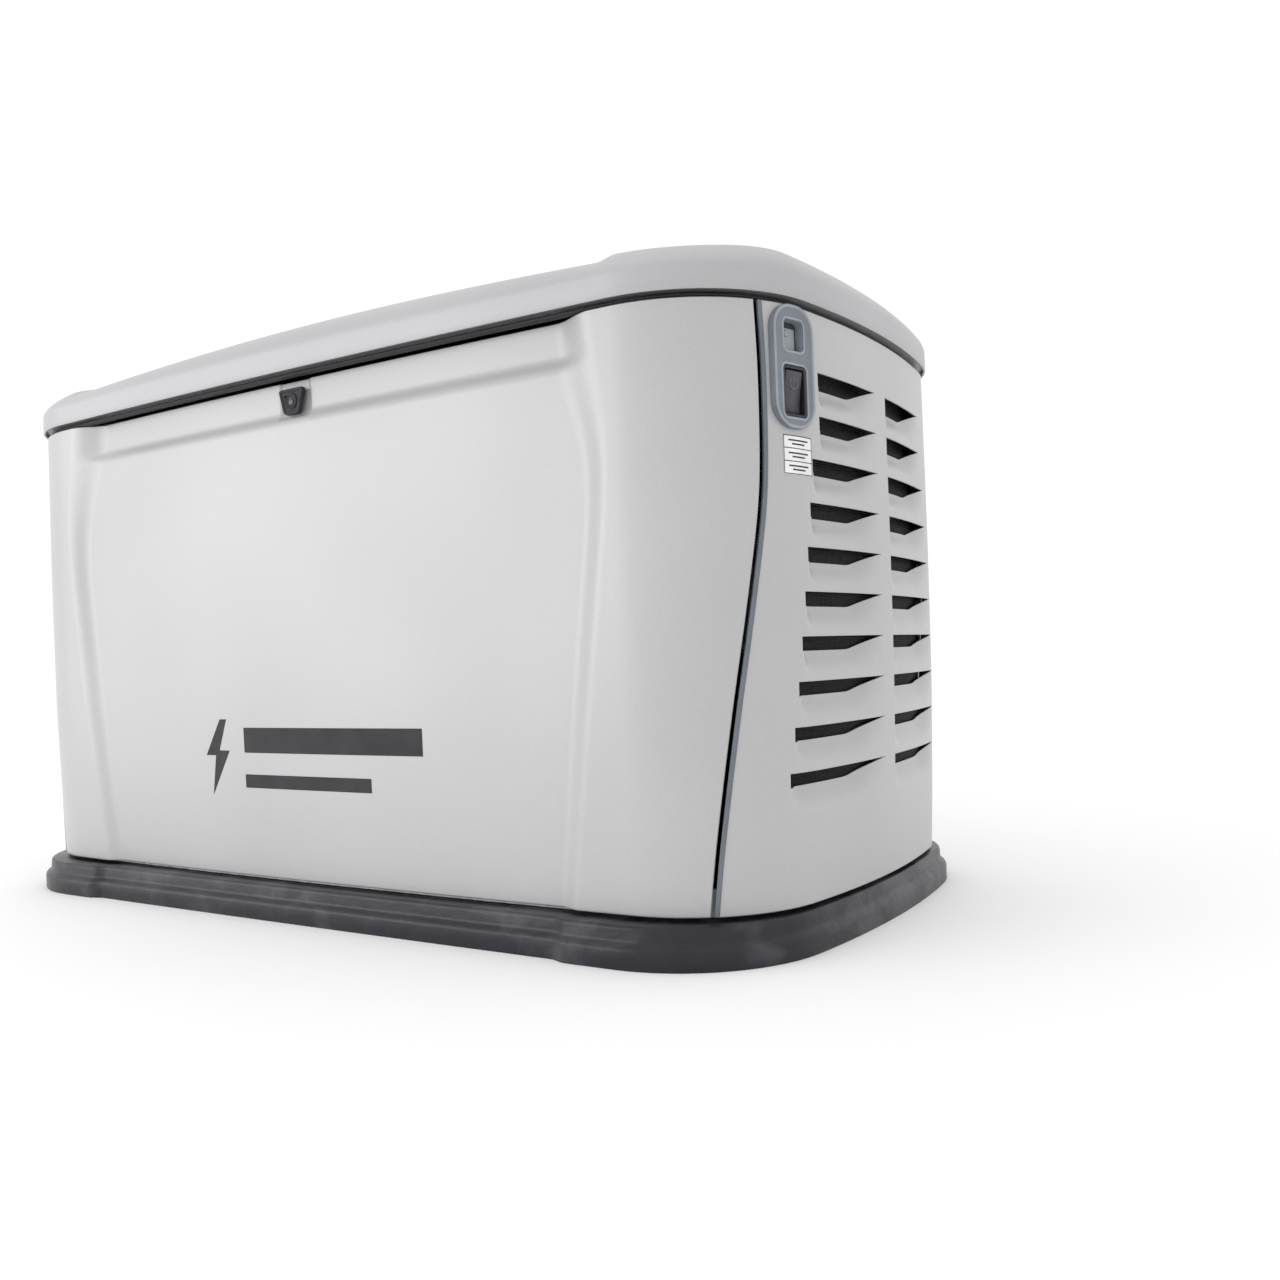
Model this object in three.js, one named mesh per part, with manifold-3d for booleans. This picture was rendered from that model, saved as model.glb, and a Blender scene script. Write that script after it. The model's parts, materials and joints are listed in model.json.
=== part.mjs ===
// Air-cooled home standby generator in its weatherproof enclosure, as an assembly of separate pieces.
// Millimetres. +X points to the air-intake end, -Y to the front, +Z up. The origin is on the ground,
// under the middle of the mounting pad. Every piece is one closed mesh, named as a fitter would name it.

import * as THREE from 'three';
import { mergeVertices } from 'three/addons/utils/BufferGeometryUtils.js';
import Module from 'manifold-3d';

const wasm = await Module();
wasm.setup();

const { PI, abs, sin, cos, sqrt, atan2, hypot } = Math;
const rad = THREE.MathUtils.degToRad;

// ---------------------------------------------------------------- driving dimensions

const GAP = 0.35;                 // clearance between pieces that rest on each other
const SHEET = 3;                  // thickness of an enclosure panel with its folded stiffening

// Plan outline of the lid and of the pad: long and short sides bow out, corners are round.
const LID_PLAN = { halfLength: 609, halfWidth: 313, bowLong: 9, bowShort: 11, corner: 155 };
const PAD_PLAN = { halfLength: 606, halfWidth: 324, bowLong: 3, bowShort: 10, corner: 155 };

const PAD_TOP = 40;
const PAD_TIER = 23;              // height of the pad's wide lower band
const TRAY_FLOOR = PAD_TOP + GAP + SHEET;
const PANEL_BOTTOM = 44;
const PANEL_TOP = 626;
const LID_BOTTOM = 632;
const LID_FASCIA = 21;            // straight height of the lid's edge, below its domed top
const LID_CROWN = 73.8;           // how far the dome rises above that edge in the middle
const LID_ARCH = 39.5;            // how much less it would rise 600 mm from the middle
const LID_REACH = { long: 313, short: 86 };   // how far in from a long and a short side it keeps rising
const LID_CURVE = 2.18;           // 2 would make its section an ellipse
const LID_END_RISE = 5.3;         // the lid's two end sections stand this much above its middle
const LID_OPEN_DEG = 55;

const SHAFT_Z = 225;              // height of the crankshaft and alternator axis
const CYLINDER_TILT = 45;         // each cylinder leans this far from upright, front and rear

// ---------------------------------------------------------------- finishes

const finish = (color, roughness, metalness) => ({ color, roughness, metalness });
const PAINT = finish('#d7d5d4', 0.42, 0.15);
const PAINT_LID = finish('#c6c5c8', 0.42, 0.15);
const GALVANISED = finish('#9a9da1', 0.5, 0.8);
const COMPOSITE = finish('#2f2f36', 0.55, 0.0);
const RUBBER = finish('#15171b', 0.8, 0.0);
const BEZEL_PLASTIC = finish('#858d96', 0.5, 0.0);
const BLACK_PLASTIC = finish('#1b1c1f', 0.5, 0.0);
const LENS = finish('#c9cdd0', 0.2, 0.0);
const BLACK_MESH = finish('#141518', 0.6, 0.3);
const CAST = finish('#8d8f92', 0.6, 0.7);
const ENGINE_BLACK = finish('#202124', 0.5, 0.2);
const STEEL = finish('#b5b7ba', 0.35, 0.9);
const HOT_STEEL = finish('#8a8480', 0.55, 0.8);
const FILTER_PAINT = finish('#e6e6e3', 0.35, 0.1);
const RED_PLASTIC = finish('#b3231c', 0.45, 0.0);
const YELLOW_PLASTIC = finish('#d9a514', 0.5, 0.0);

// ---------------------------------------------------------------- mesh helpers

const model = new THREE.Group();

function addPiece(name, geometry, look, parent = model) {
  const mesh = new THREE.Mesh(geometry, new THREE.MeshStandardMaterial(look));
  mesh.name = name;
  parent.add(mesh);
  return mesh;
}

function toSolid(geometry) {
  const bare = geometry.clone();
  bare.deleteAttribute('normal');
  bare.deleteAttribute('uv');
  const merged = mergeVertices(bare, 1e-4);
  const vertProperties = new Float32Array(merged.attributes.position.array);
  const triVerts = new Uint32Array(merged.index.array);
  return new wasm.Manifold(new wasm.Mesh({ numProp: 3, vertProperties, triVerts }));
}

function toGeometry(solid) {
  const mesh = solid.getMesh();
  const geometry = new THREE.BufferGeometry();
  geometry.setAttribute('position', new THREE.BufferAttribute(new Float32Array(mesh.vertProperties), 3));
  geometry.setIndex(new THREE.BufferAttribute(new Uint32Array(mesh.triVerts), 1));
  geometry.computeVertexNormals();
  return geometry;
}

function join(first, ...others) {
  return toGeometry(others.reduce((solid, other) => solid.add(toSolid(other)), toSolid(first)));
}

function cut(body, ...tools) {
  return toGeometry(tools.reduce((solid, tool) => solid.subtract(toSolid(tool)), toSolid(body)));
}

function box(x0, x1, y0, y1, z0, z1) {
  const size = new THREE.BoxGeometry(x1 - x0, y1 - y0, z1 - z0);
  return size.translate((x0 + x1) / 2, (y0 + y1) / 2, (z0 + z1) / 2);
}

function rodZ(radius, z0, z1, x = 0, y = 0, sides = 16) {
  const rod = new THREE.CylinderGeometry(radius, radius, z1 - z0, sides).rotateX(PI / 2);
  return rod.translate(x, y, (z0 + z1) / 2);
}

function rodX(radius, x0, x1, y = 0, z = 0, sides = 16) {
  const rod = new THREE.CylinderGeometry(radius, radius, x1 - x0, sides).rotateZ(PI / 2);
  return rod.translate((x0 + x1) / 2, y, z);
}

function rodY(radius, y0, y1, x = 0, z = 0, sides = 16) {
  const rod = new THREE.CylinderGeometry(radius, radius, y1 - y0, sides);
  return rod.translate(x, (y0 + y1) / 2, z);
}

const points = (pairs) => pairs.map(([x, y]) => new THREE.Vector2(x, y));

/** A turned piece about +Z: [radius, height] pairs from the axis, round the outside, back to the axis. */
function turned(pairs, sides = 16) {
  return new THREE.LatheGeometry(points(pairs), sides).rotateX(PI / 2);
}

/** A flat outline of [x, y] pairs, given a thickness from z0 to z1. */
function plate(pairs, z0, z1) {
  const shape = new THREE.Shape(points(pairs));
  return new THREE.ExtrudeGeometry(shape, { depth: z1 - z0, bevelEnabled: false }).translate(0, 0, z0);
}

/** An outline of [y, z] pairs drawn along X from x0 to x1. */
function prismX(pairs, x0, x1) {
  return plate(pairs, x0, x1).rotateX(PI / 2).rotateZ(PI / 2);
}

/** A rectangle with round corners, centred on the origin, as [x, y] pairs. */
function roundedRectangle(width, height, radius, steps = 3) {
  const pairs = [];
  for (let corner = 0; corner < 4; corner += 1) {
    const cx = (corner === 0 || corner === 3 ? 1 : -1) * (width / 2 - radius);
    const cy = (corner < 2 ? 1 : -1) * (height / 2 - radius);
    for (let i = 0; i <= steps; i += 1) {
      const angle = (corner + i / steps) * PI / 2;
      pairs.push([cx + radius * cos(angle), cy + radius * sin(angle)]);
    }
  }
  return pairs;
}

/** A round bar along a smooth curve through the given points. */
function bentBar(route, radius, steps = 18, sides = 8) {
  const curve = new THREE.CatmullRomCurve3(route.map((p) => new THREE.Vector3(...p)));
  const ring = [];
  for (let i = 0; i < sides; i += 1) {
    ring.push([radius * cos(2 * PI * i / sides), radius * sin(2 * PI * i / sides)]);
  }
  return new THREE.ExtrudeGeometry(new THREE.Shape(points(ring)), { steps, extrudePath: curve });
}

function meshFromTriangles(positions) {
  const geometry = new THREE.BufferGeometry();
  geometry.setAttribute('position', new THREE.Float32BufferAttribute(positions, 3));
  const merged = mergeVertices(geometry, 1e-4);
  const kept = [];
  for (let i = 0; i < merged.index.count; i += 3) {
    const [a, b, c] = [0, 1, 2].map((k) => merged.index.getX(i + k));
    if (a !== b && b !== c && c !== a) kept.push(a, b, c);
  }
  merged.setIndex(kept);
  merged.computeVertexNormals();
  return merged;
}

const pushTriangle = (list, a, b, c) => list.push(...a, ...b, ...c);

function pushQuad(list, a, b, c, d) {
  pushTriangle(list, a, b, c);
  pushTriangle(list, a, c, d);
}

/** Joins rings of [x, y, z], each anticlockwise seen from above, into one closed skin, first to last.
 *  A ring that has closed to a line needs no cap; any other end ring is capped flat. */
function loft(rings, capFirst = true, capLast = true) {
  const list = [];
  const count = rings[0].length;
  for (let j = 0; j + 1 < rings.length; j += 1) {
    for (let i = 0; i < count; i += 1) {
      const next = (i + 1) % count;
      pushQuad(list, rings[j][i], rings[j][next], rings[j + 1][next], rings[j + 1][i]);
    }
  }
  const cap = (ring, upward) => {
    const faces = THREE.ShapeUtils.triangulateShape(points(ring.map(([x, y]) => [x, y])), []);
    for (const [a, b, c] of faces) {
      if (upward) pushTriangle(list, ring[a], ring[b], ring[c]);
      else pushTriangle(list, ring[a], ring[c], ring[b]);
    }
  };
  if (capFirst) cap(rings[0], false);
  if (capLast) cap(rings[rings.length - 1], true);
  return meshFromTriangles(list);
}

/** A bent sheet from rows of outside and inside points, rows rising, points going anticlockwise. */
function sheetSolid(rows) {
  const list = [];
  const last = rows.length - 1;
  const width = rows[0].outer.length;
  for (let j = 0; j < last; j += 1) {
    const [low, high] = [rows[j], rows[j + 1]];
    for (let i = 0; i + 1 < width; i += 1) {
      pushQuad(list, low.outer[i], low.outer[i + 1], high.outer[i + 1], high.outer[i]);
      pushQuad(list, low.inner[i + 1], low.inner[i], high.inner[i], high.inner[i + 1]);
    }
    pushQuad(list, low.inner[0], low.outer[0], high.outer[0], high.inner[0]);
    pushQuad(list, low.outer[width - 1], low.inner[width - 1], high.inner[width - 1], high.outer[width - 1]);
  }
  for (let i = 0; i + 1 < width; i += 1) {
    const [foot, head] = [rows[0], rows[last]];
    pushQuad(list, foot.inner[i], foot.inner[i + 1], foot.outer[i + 1], foot.outer[i]);
    pushQuad(list, head.outer[i], head.outer[i + 1], head.inner[i + 1], head.inner[i]);
  }
  return meshFromTriangles(list);
}

// ---------------------------------------------------------------- plan outline and wall surface

/** Outline of one tier as tangent arcs. at(s) gives the point and outward normal at arc length s from the
 *  front centre, positive towards +X; one full turn is four quarters. */
function planOutline({ halfLength, halfWidth, bowLong, bowShort, corner }) {
  const bowRadius = (reach, bow) => (reach * reach + bow * bow) / (2 * bow);
  const longRadius = bowRadius(halfLength - corner, bowLong);
  const shortRadius = bowRadius(halfWidth - corner, bowShort);
  const longY = longRadius - halfWidth;
  const shortX = halfLength - shortRadius;
  const [reachLong, reachShort] = [longRadius - corner, shortRadius - corner];
  const span = hypot(shortX, longY);
  const along = (reachLong ** 2 - reachShort ** 2 + span ** 2) / (2 * span);
  const across = sqrt(reachLong ** 2 - along ** 2);
  const [ux, uy] = [shortX / span, -longY / span];
  const candidates = [1, -1].map((side) => [
    along * ux - side * across * uy, longY + along * uy + side * across * ux]);
  const [cornerX, cornerY] = candidates.find(([x, y]) => x > 0 && y < 0);
  const angleLong = atan2(cornerY - longY, cornerX);
  const angleShort = atan2(cornerY, cornerX - shortX);
  const lengthLong = (angleLong + PI / 2) * longRadius;
  const lengthCorner = (angleShort - angleLong) * corner;
  const quarter = lengthLong + lengthCorner - angleShort * shortRadius;

  const inFirstQuarter = (t) => {
    let [cx, cy, radius, angle] = [0, longY, longRadius, -PI / 2 + t / longRadius];
    if (t > lengthLong) [cx, cy, radius, angle] = [cornerX, cornerY, corner, angleLong + (t - lengthLong) / corner];
    if (t > lengthLong + lengthCorner) {
      [cx, cy, radius, angle] = [shortX, 0, shortRadius, (t - quarter) / shortRadius];
    }
    return [cx + radius * cos(angle), cy + radius * sin(angle), cos(angle), sin(angle)];
  };
  const at = (s) => {
    const beyond = abs(s) > quarter;
    const [x, y, nx, ny] = inFirstQuarter(beyond ? 2 * quarter - abs(s) : abs(s));
    const [flipX, flipY] = [s < 0 ? -1 : 1, beyond ? -1 : 1];
    return { x: x * flipX, y: y * flipY, nx: nx * flipX, ny: ny * flipY };
  };
  const atCornerAngle = (degrees) => lengthLong + (rad(degrees) - angleLong) * corner;
  return { quarter, at, atCornerAngle };
}

const lidOutline = planOutline(LID_PLAN);
const padOutline = planOutline(PAD_PLAN);

/** Straight-line reading of a table of [z, value] pairs that rises in z. */
function readTable(table, z) {
  if (z <= table[0][0]) return table[0][1];
  for (let i = 1; i < table.length; i += 1) {
    const [[z0, v0], [z1, v1]] = [table[i - 1], table[i]];
    if (z <= z1) return v0 + (v1 - v0) * (z - z0) / (z1 - z0);
  }
  return table[table.length - 1][1];
}

const smoothStep = (t) => THREE.MathUtils.smoothstep(t, 0, 1);

// The wall stands inside the lid's edge: furthest in at its foot, and the corner columns swell above it.
const WALL_INSET = [[44, 14], [120, 10.5], [250, 6.5], [420, 5], [626, 5.5]];
// The front's shallow panel between the columns: where it starts and ends, and how deep it is.
const RECESS_FOOT = [[44, 359], [250, 384], [440, 409], [500, 405], [575, 376], [626, 373]];
const RECESS_EDGE = [[44, 386], [250, 416], [440, 441], [500, 444], [585, 434], [626, 428]];
const RECESS_DEPTH = [[44, 9], [460, 12], [574, 14], [592, 22], [626, 20]];
// The seam between front and end panels, as the angle round the corner from the +X direction.
const SEAM_ANGLE = [[44, -56], [100, -53.5], [173, -49.3], [247, -44.7], [322, -39.4], [397, -34.4],
  [435, -32.2], [470, -31.2], [530, -30.7], [570, -30.7], [626, -31.5]];
const SEAM_GAP = 5;

function recessAt(s, z) {
  const [foot, edge] = [readTable(RECESS_FOOT, z), readTable(RECESS_EDGE, z)];
  return readTable(RECESS_DEPTH, z) * (1 - smoothStep((abs(s) - foot) / (edge - foot)));
}

function wallPoint(s, z, inward) {
  const p = lidOutline.at(s);
  return [p.x - p.nx * inward, p.y - p.ny * inward, z];
}

function wallRow(stations, z, insetAt) {
  const outer = stations.map((s) => wallPoint(s, z, insetAt(s, z)));
  const inner = stations.map((s) => wallPoint(s, z, insetAt(s, z) + SHEET));
  return { outer, inner };
}

const spread = (from, to, count) => Array.from({ length: count }, (_, i) => from + (to - from) * i / count);
const seamAt = (z) => lidOutline.atCornerAngle(readTable(SEAM_ANGLE, z));
const mirrorX = (geometry) => toGeometry(toSolid(geometry).mirror([1, 0, 0]));
const mirrorY = (geometry) => toGeometry(toSolid(geometry).mirror([0, 1, 0]));

// ---------------------------------------------------------------- mounting pad

const PAD_STEP_FOOT = 366;        // the pad's long sides step in between the corner columns
const PAD_STEP_EDGE = 386;
const PAD_STEP_DEPTH = 7;

function padRing(z, inset) {
  const { quarter } = padOutline;
  const bases = [0, PAD_STEP_FOOT, PAD_STEP_EDGE, 440, 490, 540, 590, 640];
  const half = [...bases, quarter, ...bases.slice(1).reverse().map((s) => 2 * quarter - s), 2 * quarter];
  const all = [...half, ...half.slice(1, -1).reverse().map((s) => -s)];
  return all.map((s) => {
    const p = padOutline.at(s);
    const near = abs(s) > quarter ? 2 * quarter - abs(s) : abs(s);
    const step = near <= PAD_STEP_FOOT + 1 ? PAD_STEP_DEPTH : 0;
    return [p.x - p.nx * (inset + step), p.y - p.ny * (inset + step), z];
  });
}

addPiece('mounting_pad', loft([
  padRing(0, 0), padRing(PAD_TIER - 3, 0), padRing(PAD_TIER, 3), padRing(PAD_TIER + 2, 6),
  padRing(PAD_TOP - 3, 7), padRing(PAD_TOP, 10)]), COMPOSITE);

// ---------------------------------------------------------------- base tray

const TRAY_INSET = 29;
const TRAY_LIP = 68;

function lidRing(z, inset, steps = 5) {
  const { quarter } = lidOutline;
  const flat = 430;
  const half = [0, 215, ...spread(flat, quarter - 100, steps), quarter - 100];
  const quarterTurn = [...half, quarter];
  const front = [...quarterTurn, ...half.slice(1).reverse().map((s) => 2 * quarter - s), 2 * quarter];
  const all = [...front, ...front.slice(1, -1).reverse().map((s) => -s)];
  return all.map((s) => wallPoint(s, z, inset));
}

addPiece('base_tray', loft([
  lidRing(PAD_TOP + GAP, TRAY_INSET), lidRing(TRAY_LIP, TRAY_INSET),
  lidRing(TRAY_LIP, TRAY_INSET + SHEET), lidRing(TRAY_FLOOR, TRAY_INSET + SHEET)]), GALVANISED);

// ---------------------------------------------------------------- front and rear panels

const FRONT_ROWS = [PANEL_BOTTOM, 120, 250, 331, 400, 460, 510, 574, 592, PANEL_TOP];
const LOCK = { z: 600, barrel: 9, pocketWidth: 46, pocketHeight: 34 };

function frontStations(z) {
  const [foot, edge, seam] = [readTable(RECESS_FOOT, z), readTable(RECESS_EDGE, z), seamAt(z) - SEAM_GAP / 2];
  const right = [...spread(0, foot, 1), ...spread(foot, edge, 3), ...spread(edge, seam, 6), seam];
  return [...right.slice(1).reverse().map((s) => -s), ...right];
}

const frontInset = (s, z) => readTable(WALL_INSET, z) + recessAt(s, z);
const plainInset = (s, z) => readTable(WALL_INSET, z);
const lockFace = wallPoint(0, LOCK.z, frontInset(0, LOCK.z))[1];
const frontSheet = sheetSolid(FRONT_ROWS.map((z) => wallRow(frontStations(z), z, frontInset)));
addPiece('front_panel', cut(frontSheet, rodY(LOCK.barrel + 1.5, lockFace - 10, lockFace + 10, 0, LOCK.z)), PAINT);

const REAR_ROWS = [PANEL_BOTTOM, 200, 331, 400, 460, 510, PANEL_TOP];
const FUEL = { x: 300, z: 160, pipe: 14 };
const rearStations = (z) => {
  const seam = seamAt(z) - SEAM_GAP / 2;
  const right = [...spread(0, 430, 1), ...spread(430, seam, 5), seam];
  return [...right.slice(1).reverse().map((s) => -s), ...right];
};
const rearSheet = mirrorY(sheetSolid(REAR_ROWS.map((z) => wallRow(rearStations(z), z, plainInset))));
addPiece('rear_panel', cut(rearSheet, rodY(FUEL.pipe + 5, 270, 330, FUEL.x, FUEL.z)), PAINT);

// ---------------------------------------------------------------- end panels with air louvres

const LOUVRE = { rows: 10, top: 567, pitch: 43.7, height: 12, middle: 17 };

function louvreZs() {
  return Array.from({ length: LOUVRE.rows }, (_, row) => LOUVRE.top - row * LOUVRE.pitch);
}

/** How far from the middle a louvre reaches: wider lower down, short beside the status window. */
function louvreReach(z) {
  return z > 500 ? 146 : 162 + (479 - z) * 0.154;
}

function endStations(z) {
  const { quarter } = lidOutline;
  const seam = seamAt(z) + SEAM_GAP / 2;
  const front = [...spread(seam, quarter - 130, 2), quarter - 130];
  return [...front, quarter, ...front.reverse().map((s) => 2 * quarter - s)];
}

const louvreSlots = louvreZs().flatMap((z) => [-1, 1].map((side) => {
  const [near, far] = [LOUVRE.middle, louvreReach(z)];
  const [y0, y1] = side < 0 ? [-far, -near] : [near, far];
  return box(520, 640, y0, y1, z - LOUVRE.height, z);
}));
const endSheet = sheetSolid(REAR_ROWS.map((z) => wallRow(endStations(z), z, plainInset)));
const louvredEnd = cut(endSheet, ...louvreSlots);
addPiece('exhaust_side_panel', mirrorX(louvredEnd), PAINT);

// The status window and emergency stop share one bezel near the top front of the intake end.
const bezelS = lidOutline.quarter - 192;
const bezelSeat = lidOutline.at(bezelS);
const bezelFrame = new THREE.Group();
bezelFrame.position.set(...wallPoint(bezelS, 565, plainInset(bezelS, 565)));
bezelFrame.rotation.set(PI / 2, atan2(bezelSeat.ny, bezelSeat.nx) + PI / 2, 0, 'XYZ');
bezelFrame.updateMatrixWorld(true);
// In this frame +X runs along the wall to the rear, +Y up, +Z out of the wall.
const BEZEL = { width: 58, height: 120, corner: 25, proud: 5 };
const WINDOW = { width: 34, height: 36, y: 30 };
const STOP = { width: 34, height: 50, y: -24, depth: 24 };
const seatCut = join(
  plate(roundedRectangle(WINDOW.width + 2, WINDOW.height + 2, 6), -14, 14).translate(0, WINDOW.y, 0),
  plate(roundedRectangle(STOP.width + 5, STOP.height + 5, 6), -14, 14).translate(0, STOP.y, 0));
addPiece('intake_side_panel', cut(louvredEnd, seatCut.applyMatrix4(bezelFrame.matrixWorld)), PAINT);
model.add(bezelFrame);

const bezelBlank = plate(roundedRectangle(BEZEL.width, BEZEL.height, BEZEL.corner, 6), GAP, BEZEL.proud);
addPiece('status_bezel', cut(bezelBlank,
  plate(roundedRectangle(WINDOW.width - 6, WINDOW.height - 6, 5), -1, 9).translate(0, WINDOW.y, 0),
  plate(roundedRectangle(STOP.width, STOP.height, 5), -1, 9).translate(0, STOP.y, 0)),
BEZEL_PLASTIC, bezelFrame);
addPiece('status_lens', plate(roundedRectangle(WINDOW.width, WINDOW.height, 5), -2.5, 0)
  .translate(0, WINDOW.y, 0), LENS, bezelFrame);

const stopBody = plate(roundedRectangle(STOP.width + 3, STOP.height + 3, 5), -STOP.depth, 0);
const stopRoom = plate(roundedRectangle(STOP.width - 2, STOP.height - 2, 4), -STOP.depth + 4, 1);
addPiece('shutdown_switch_housing', cut(stopBody, stopRoom).translate(0, STOP.y, 0), BLACK_PLASTIC, bezelFrame);

const rockerSide = [[-20, -2.5], [0, 0.5], [20, 3.5], [17, -9], [-17, -9]];
const rocker = plate(rockerSide.map(([y, z]) => [-z, y]), -12, 12).rotateY(PI / 2);
addPiece('shutdown_rocker', rocker.translate(0, STOP.y, 0), BLACK_PLASTIC, bezelFrame);

// A fine mesh screen stands behind the louvres.
const SCREEN = { inset: 30, reach: 190, low: 150, high: 590 };
const screenRows = [SCREEN.low, 370, SCREEN.high].map((z) => {
  const { quarter } = lidOutline;
  const stations = [...spread(quarter - SCREEN.reach + 50, quarter + SCREEN.reach, 8), quarter + SCREEN.reach];
  return wallRow(stations, z, () => SCREEN.inset);
});
addPiece('intake_screen', sheetSolid(screenRows), BLACK_MESH);

// ---------------------------------------------------------------- lid and its seal

/** Height of the lid's skin this far in from the edge at arc length s, over a point at this x. */
function lidHeight(s, x, inward, lower) {
  const towardEnd = lidOutline.at(s).nx ** 2;
  const reach = LID_REACH.long + (LID_REACH.short - LID_REACH.long) * towardEnd;
  const t = Math.min(inward / reach, 1);
  const crown = LID_CROWN - LID_ARCH * (x / 600) ** 2;
  const endRise = LID_END_RISE * smoothStep((abs(x) - 425) / 22) * Math.min(inward / 25, 1);
  return LID_BOTTOM + LID_FASCIA + crown * (1 - (1 - t) ** LID_CURVE) ** (1 / LID_CURVE) + endRise - lower;
}

function lidStations() {
  const { quarter } = lidOutline;
  const half = [0, 210, 400, 425, 436, 447, ...spread(470, quarter - 100, 5), quarter - 100];
  const front = [...half, quarter, ...half.slice(1).reverse().map((s) => 2 * quarter - s), 2 * quarter];
  return [...front, ...front.slice(1, -1).reverse().map((s) => -s)];
}

const LID_RING_LAST = 140;        // the offset rings stop before the corner radius is used up
const SPINE = 0.62;               // the lid's inner rings close on a line this share of its length
const lidRingAt = (inward, lower) => lidStations().map((s) => {
  const [x, y] = wallPoint(s, 0, inward + lower);
  return [x, y, inward > 0 ? lidHeight(s, x, inward, lower) : LID_BOTTOM + LID_FASCIA];
});
const lidRim = (inset) => lidStations().map((s) => wallPoint(s, LID_BOTTOM, inset));
const lidToSpine = (share, lower) => lidStations().map((s) => {
  const [x, y] = wallPoint(s, 0, LID_RING_LAST);
  const px = x * (1 - share * (1 - SPINE));
  const inward = LID_RING_LAST + share * (LID_PLAN.halfWidth - LID_RING_LAST);
  return [px, y * (1 - share), lidHeight(s, px, inward, lower)];
});
const outerRings = [lidRim(0), ...[0, 8, 26, 60, 100, 140].map((inward) => lidRingAt(inward, 0)),
  lidToSpine(0.4, 0), lidToSpine(1, 0)];
const innerRings = [lidRim(SHEET), ...[0, 12, 40, 140].map((inward) => lidRingAt(inward, SHEET)),
  lidToSpine(0.4, SHEET), lidToSpine(1, SHEET)];
const HINGE = { y: 315, z: 629.5, knuckle: 5.2, pin: 2.2, half: 40, xs: { left: -300, right: 300 } };
addPiece('lid', loft([...innerRings.reverse(), ...outerRings], false, false), PAINT_LID);

const SEAL = { outside: 9, width: 9, low: PANEL_TOP + GAP, high: LID_BOTTOM - GAP };
const sealRing = lidRing;
addPiece('lid_seal', cut(
  loft([sealRing(SEAL.low, SEAL.outside), sealRing(SEAL.high, SEAL.outside)]),
  loft([sealRing(SEAL.low - 5, SEAL.outside + SEAL.width), sealRing(SEAL.high + 5, SEAL.outside + SEAL.width)])),
RUBBER);

// ---------------------------------------------------------------- lid hinges and stay

function hingeLeaf(x, onLid) {
  const { y, z, knuckle, pin, half } = HINGE;
  const stations = onLid ? [[x - 13, x + 13]] : [[x - half, x - 14], [x + 14, x + half]];
  const knuckles = stations.map(([x0, x1]) => rodX(knuckle, x0, x1, y, z, 12));
  const flat = onLid
    ? box(x - 13, x + 13, y - 2, y, z, z + 9)
    : box(x - half, x + half, 307.2, 309.4, 588, 619);
  const arms = onLid
    ? [box(x - 32, x + 32, 309.6, y, 642, 660)]
    : stations.map(([x0, x1]) => prismX([[307.2, 612], [309.4, 612], [y + 3, z], [y - 3, z]], x0, x1));
  const tongue = onLid ? [box(x - 13, x + 13, y - 3, y, z + 3, 650)] : [];
  const body = join(flat, ...knuckles, ...arms, ...tongue);
  const clear = onLid ? [] : [rodX(knuckle + 1, x - 13.6, x + 13.6, y, z, 12)];
  return cut(body, rodX(pin + 0.6, x - half - 5, x + half + 5, y, z, 12), ...clear);
}

for (const [side, x] of Object.entries(HINGE.xs)) {
  const { y, z, pin, half, knuckle } = HINGE;
  addPiece(`hinge_leaf_fixed_${side}`, hingeLeaf(x, false), GALVANISED);
  addPiece(`hinge_leaf_lid_${side}`, hingeLeaf(x, true), GALVANISED);
  addPiece(`hinge_pin_${side}`, join(rodX(pin, x - half - 1, x + half + 1, y, z, 12),
    rodX(knuckle - 1, x + half + 0.8, x + half + 3, y, z, 12)), STEEL);
}

const STAY = { x: -404, y: 200, z: 590, length: 318 };
addPiece('lid_stay', join(
  box(STAY.x - 2, STAY.x + 2, STAY.y - STAY.length, STAY.y, STAY.z - 8, STAY.z + 8),
  rodX(12, STAY.x - 2, STAY.x + 2, STAY.y, STAY.z),
  rodX(4, STAY.x - 2, STAY.x + 18, STAY.y - STAY.length + 10, STAY.z, 12)), STEEL);

// ---------------------------------------------------------------- lock and its rubber cap

const CAP = { top: 616, bottom: 586, topWidth: 42, bottomWidth: 28, thick: 7 };
const capOutline = [[-21, 616], [-14, 588], [-11, 586], [11, 586], [14, 588], [21, 616]];
const capBlank = plate(capOutline, 0, CAP.thick).rotateX(PI / 2);
const capSeat = lockFace - 1.5;
addPiece('lock_cap', join(capBlank.translate(0, capSeat - 1, 0),
  rodY(12, capSeat - CAP.thick - 3, capSeat - 2, 0, LOCK.z)), RUBBER);

addPiece('lock_cylinder', join(
  rodY(LOCK.barrel, lockFace - 0.8, lockFace + 24, 0, LOCK.z),
  rodY(LOCK.barrel + 3, lockFace + SHEET + 1, lockFace + 8, 0, LOCK.z),
  box(-7, 7, lockFace + 19, lockFace + 23, LOCK.z - 6, LOCK.z + 24)), STEEL);

// ---------------------------------------------------------------- engine

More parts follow.
